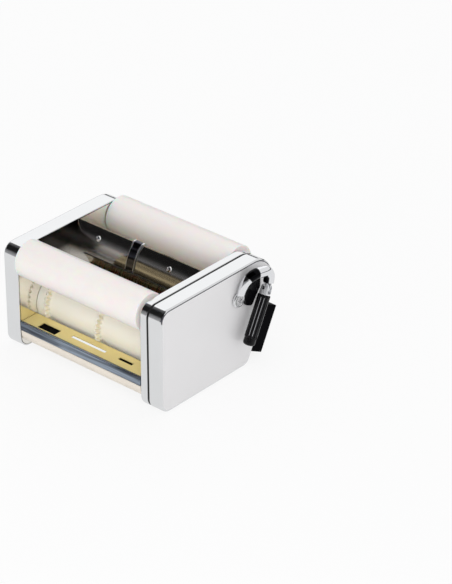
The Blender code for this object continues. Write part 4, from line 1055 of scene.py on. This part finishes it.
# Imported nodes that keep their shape
for name, material, bevel in (
    ("cross_bar_front", BAR_STEEL, 0.0012), ("cross_bar_rear", BAR_STEEL, 0.0005),
    ("stripper_plate", PLATE_YELLOW, 0.0003), ("apron", CREAM_GUARD, 0.0004),
    ("rear_guard", MIRROR, 0.0003),
    ("tie_rod_front", TURNED_STEEL, 0.0), ("tie_rod_rear", TURNED_STEEL, 0.0),
    ("stripper_block_left", BLACK_BRACKET, 0.0005),
    ("stripper_block_right", BLACK_BRACKET, 0.0005),
    ("docking_bracket_left", BLACK_BRACKET, 0.0005),
    ("docking_bracket_right", BLACK_BRACKET, 0.0005),
    ("crank_shaft", TURNED_STEEL, 0.0003), ("crank_retainer", TURNED_STEEL, 0.0002),
):
    dress(name, material, bevel)
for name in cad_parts:
    if "bush" in name or "retainer_" in name or "screw_" in name or "forming_shaft" in name:
        dress(name, TURNED_STEEL, 0.0002)
    if "gear" in name or "pinion" in name:
        dress(name, GEAR_STEEL, 0.0)


# Stage: floor, lights and camera
def add_floor():
    """A pale floor that keeps the shadow; part of its white glows, so that it stays even."""
    bpy.ops.mesh.primitive_plane_add(size=FLOOR_SIZE, location=(0, 0, -FLOOR_DROP))
    floor = bpy.context.object
    floor.name = "floor"
    finish = Finish("floor_finish", (0.86, 0.86, 0.86), 0.0, 0.6)
    path = finish.add("ShaderNodeLightPath")
    glow = finish.add("ShaderNodeEmission", {"Color": (1, 1, 1, 1)})
    dimmed = finish.add("ShaderNodeMapRange", {"To Min": 1.0, "To Max": FLOOR_REFLECTED})
    finish.link(path.outputs["Is Glossy Ray"], dimmed.inputs["Value"])
    finish.link(dimmed.outputs["Result"], glow.inputs["Strength"])
    share = finish.add("ShaderNodeMath", operation="MULTIPLY")
    share.inputs[1].default_value = FLOOR_SHARE
    mix = finish.add("ShaderNodeMixShader")
    output = finish.tree.nodes["Material Output"]
    through = finish.combine("MAXIMUM", path.outputs["Is Glossy Ray"],
                             path.outputs["Is Transmission Ray"])
    seen = finish.combine("MAXIMUM", path.outputs["Is Camera Ray"], through)
    finish.link(seen, share.inputs[0])
    finish.link(share.outputs["Value"], mix.inputs[0])
    finish.link(finish.shader.outputs["BSDF"], mix.inputs[1])
    finish.link(glow.outputs["Emission"], mix.inputs[2])
    finish.link(mix.outputs["Shader"], output.inputs["Surface"])
    floor.data.materials.append(finish.material)


def add_sky():
    """White light from all round, a little brighter where the camera or a reflection sees it."""
    world = bpy.data.worlds.new("studio")
    world.use_nodes = True
    tree = world.node_tree
    background = tree.nodes["Background"]
    background.inputs["Color"].default_value = SKY_COLOUR
    background.inputs["Strength"].default_value = SKY_LIGHT
    white = tree.nodes.new("ShaderNodeBackground")
    white.inputs["Strength"].default_value = SKY_SEEN
    path = tree.nodes.new("ShaderNodeLightPath")
    choose = tree.nodes.new("ShaderNodeMixShader")
    seen = tree.nodes.new("ShaderNodeMath")
    seen.operation = "MAXIMUM"
    tree.links.new(path.outputs["Is Camera Ray"], seen.inputs[0])
    tree.links.new(path.outputs["Is Glossy Ray"], seen.inputs[1])
    tree.links.new(seen.outputs["Value"], choose.inputs[0])
    tree.links.new(background.outputs["Background"], choose.inputs[1])
    tree.links.new(white.outputs["Background"], choose.inputs[2])
    tree.links.new(choose.outputs["Shader"], tree.nodes["World Output"].inputs["Surface"])
    bpy.context.scene.world = world


def add_card():
    """A curved dark flag that only reflections show, black in the middle and grey at its edges."""
    bm = bmesh.new()
    shade = bm.loops.layers.float_color.new("shade")
    rows = []
    for k in range(CARD_STEPS + 1):
        fall = math.radians(CARD_FALL[0] + (CARD_FALL[1] - CARD_FALL[0]) * k / CARD_STEPS)
        row = []
        for n in range(CARD_STEPS + 1):
            side = math.radians(CARD_SIDE[0] + (CARD_SIDE[1] - CARD_SIDE[0]) * n / CARD_STEPS)
            out = Vector((math.sin(side), -math.cos(side) * math.sin(fall),
                          math.cos(side) * math.cos(fall)))
            row.append(bm.verts.new(CAD_MIDDLE + out * CARD_DISTANCE))
        rows.append(row)
    for k in range(CARD_STEPS):
        for n in range(CARD_STEPS):
            face = bm.faces.new((rows[k][n], rows[k][n + 1], rows[k + 1][n + 1], rows[k + 1][n]))
            for loop in face.loops:
                step = k if loop.vert in rows[k] else k + 1
                grey = float(np.interp(step / CARD_STEPS, *zip(*CARD_GREYS)))
                loop[shade] = (grey, grey, grey * CARD_BLUE, 1)
    mesh = bpy.data.meshes.new("dark_flag")
    bm.to_mesh(mesh)
    bm.free()
    card = bpy.data.objects.new("dark_flag", mesh)
    bpy.context.scene.collection.objects.link(card)
    finish = Finish("flag_finish", (0.012, 0.012, 0.012), 0.0, 0.9)
    colour = finish.add("ShaderNodeVertexColor", layer_name="shade")
    finish.link(colour.outputs["Color"], finish.shader.inputs["Base Color"])
    mesh.materials.append(finish.material)
    only_reflected(card)


def add_horizon():
    """A low dark band far round the object that only reflections show, for the rims' dark lines."""
    low, high = HORIZON_HEIGHTS
    bpy.ops.mesh.primitive_cylinder_add(
        vertices=HORIZON_FACETS, radius=HORIZON_RADIUS, depth=high - low,
        end_fill_type="NOTHING", location=(0, 0, (low + high) / 2))
    band = bpy.context.object
    band.name = "dark_horizon"
    band.data.materials.append(Finish("horizon_finish", (0.03, 0.03, 0.035), 0.0, 0.9).material)
    only_reflected(band)


def only_reflected(piece):
    """Stage a piece that nothing but reflections shows."""
    piece.visible_camera = False
    piece.visible_diffuse = False
    piece.visible_shadow = False
    piece.visible_transmission = False


def add_lamp(name, direction, distance, width, height, power, reflected):
    """A soft rectangular lamp in a direction from the object's middle, facing it."""
    direction = Vector(direction)
    data = bpy.data.lights.new(name, "AREA")
    data.shape = "RECTANGLE"
    data.size = width
    data.size_y = height
    data.energy = power
    lamp = bpy.data.objects.new(name, data)
    lamp.location = CAD_MIDDLE + direction.normalized() * distance
    lamp.rotation_mode = "QUATERNION"
    lamp.rotation_quaternion = direction.to_track_quat("Z", "Y")
    lamp.visible_glossy = reflected
    bpy.context.scene.collection.objects.link(lamp)


def add_camera():
    """The photograph's camera, aimed at a place measured from the near frame's front foot."""
    data = bpy.data.cameras.new("camera")
    data.lens = CAMERA_LENS
    data.clip_end = 20
    camera = bpy.data.objects.new("camera", data)
    back = Vector((math.sin(CAMERA_AZIMUTH) * math.cos(CAMERA_ELEVATION),
                   -math.cos(CAMERA_AZIMUTH) * math.cos(CAMERA_ELEVATION),
                   math.sin(CAMERA_ELEVATION)))
    camera.location = Vector((NEAR_PANEL, FRONT, 0)) + TARGET_OFFSET + back * CAMERA_DISTANCE
    camera.rotation_mode = "QUATERNION"
    camera.rotation_quaternion = (-back).to_track_quat("-Z", "Y")
    bpy.context.scene.collection.objects.link(camera)
    bpy.context.scene.camera = camera


add_floor()
add_card()
add_horizon()
add_sky()
for lamp in LAMPS:
    add_lamp(*lamp)
add_camera()
bpy.context.scene.view_settings.view_transform = "Standard"
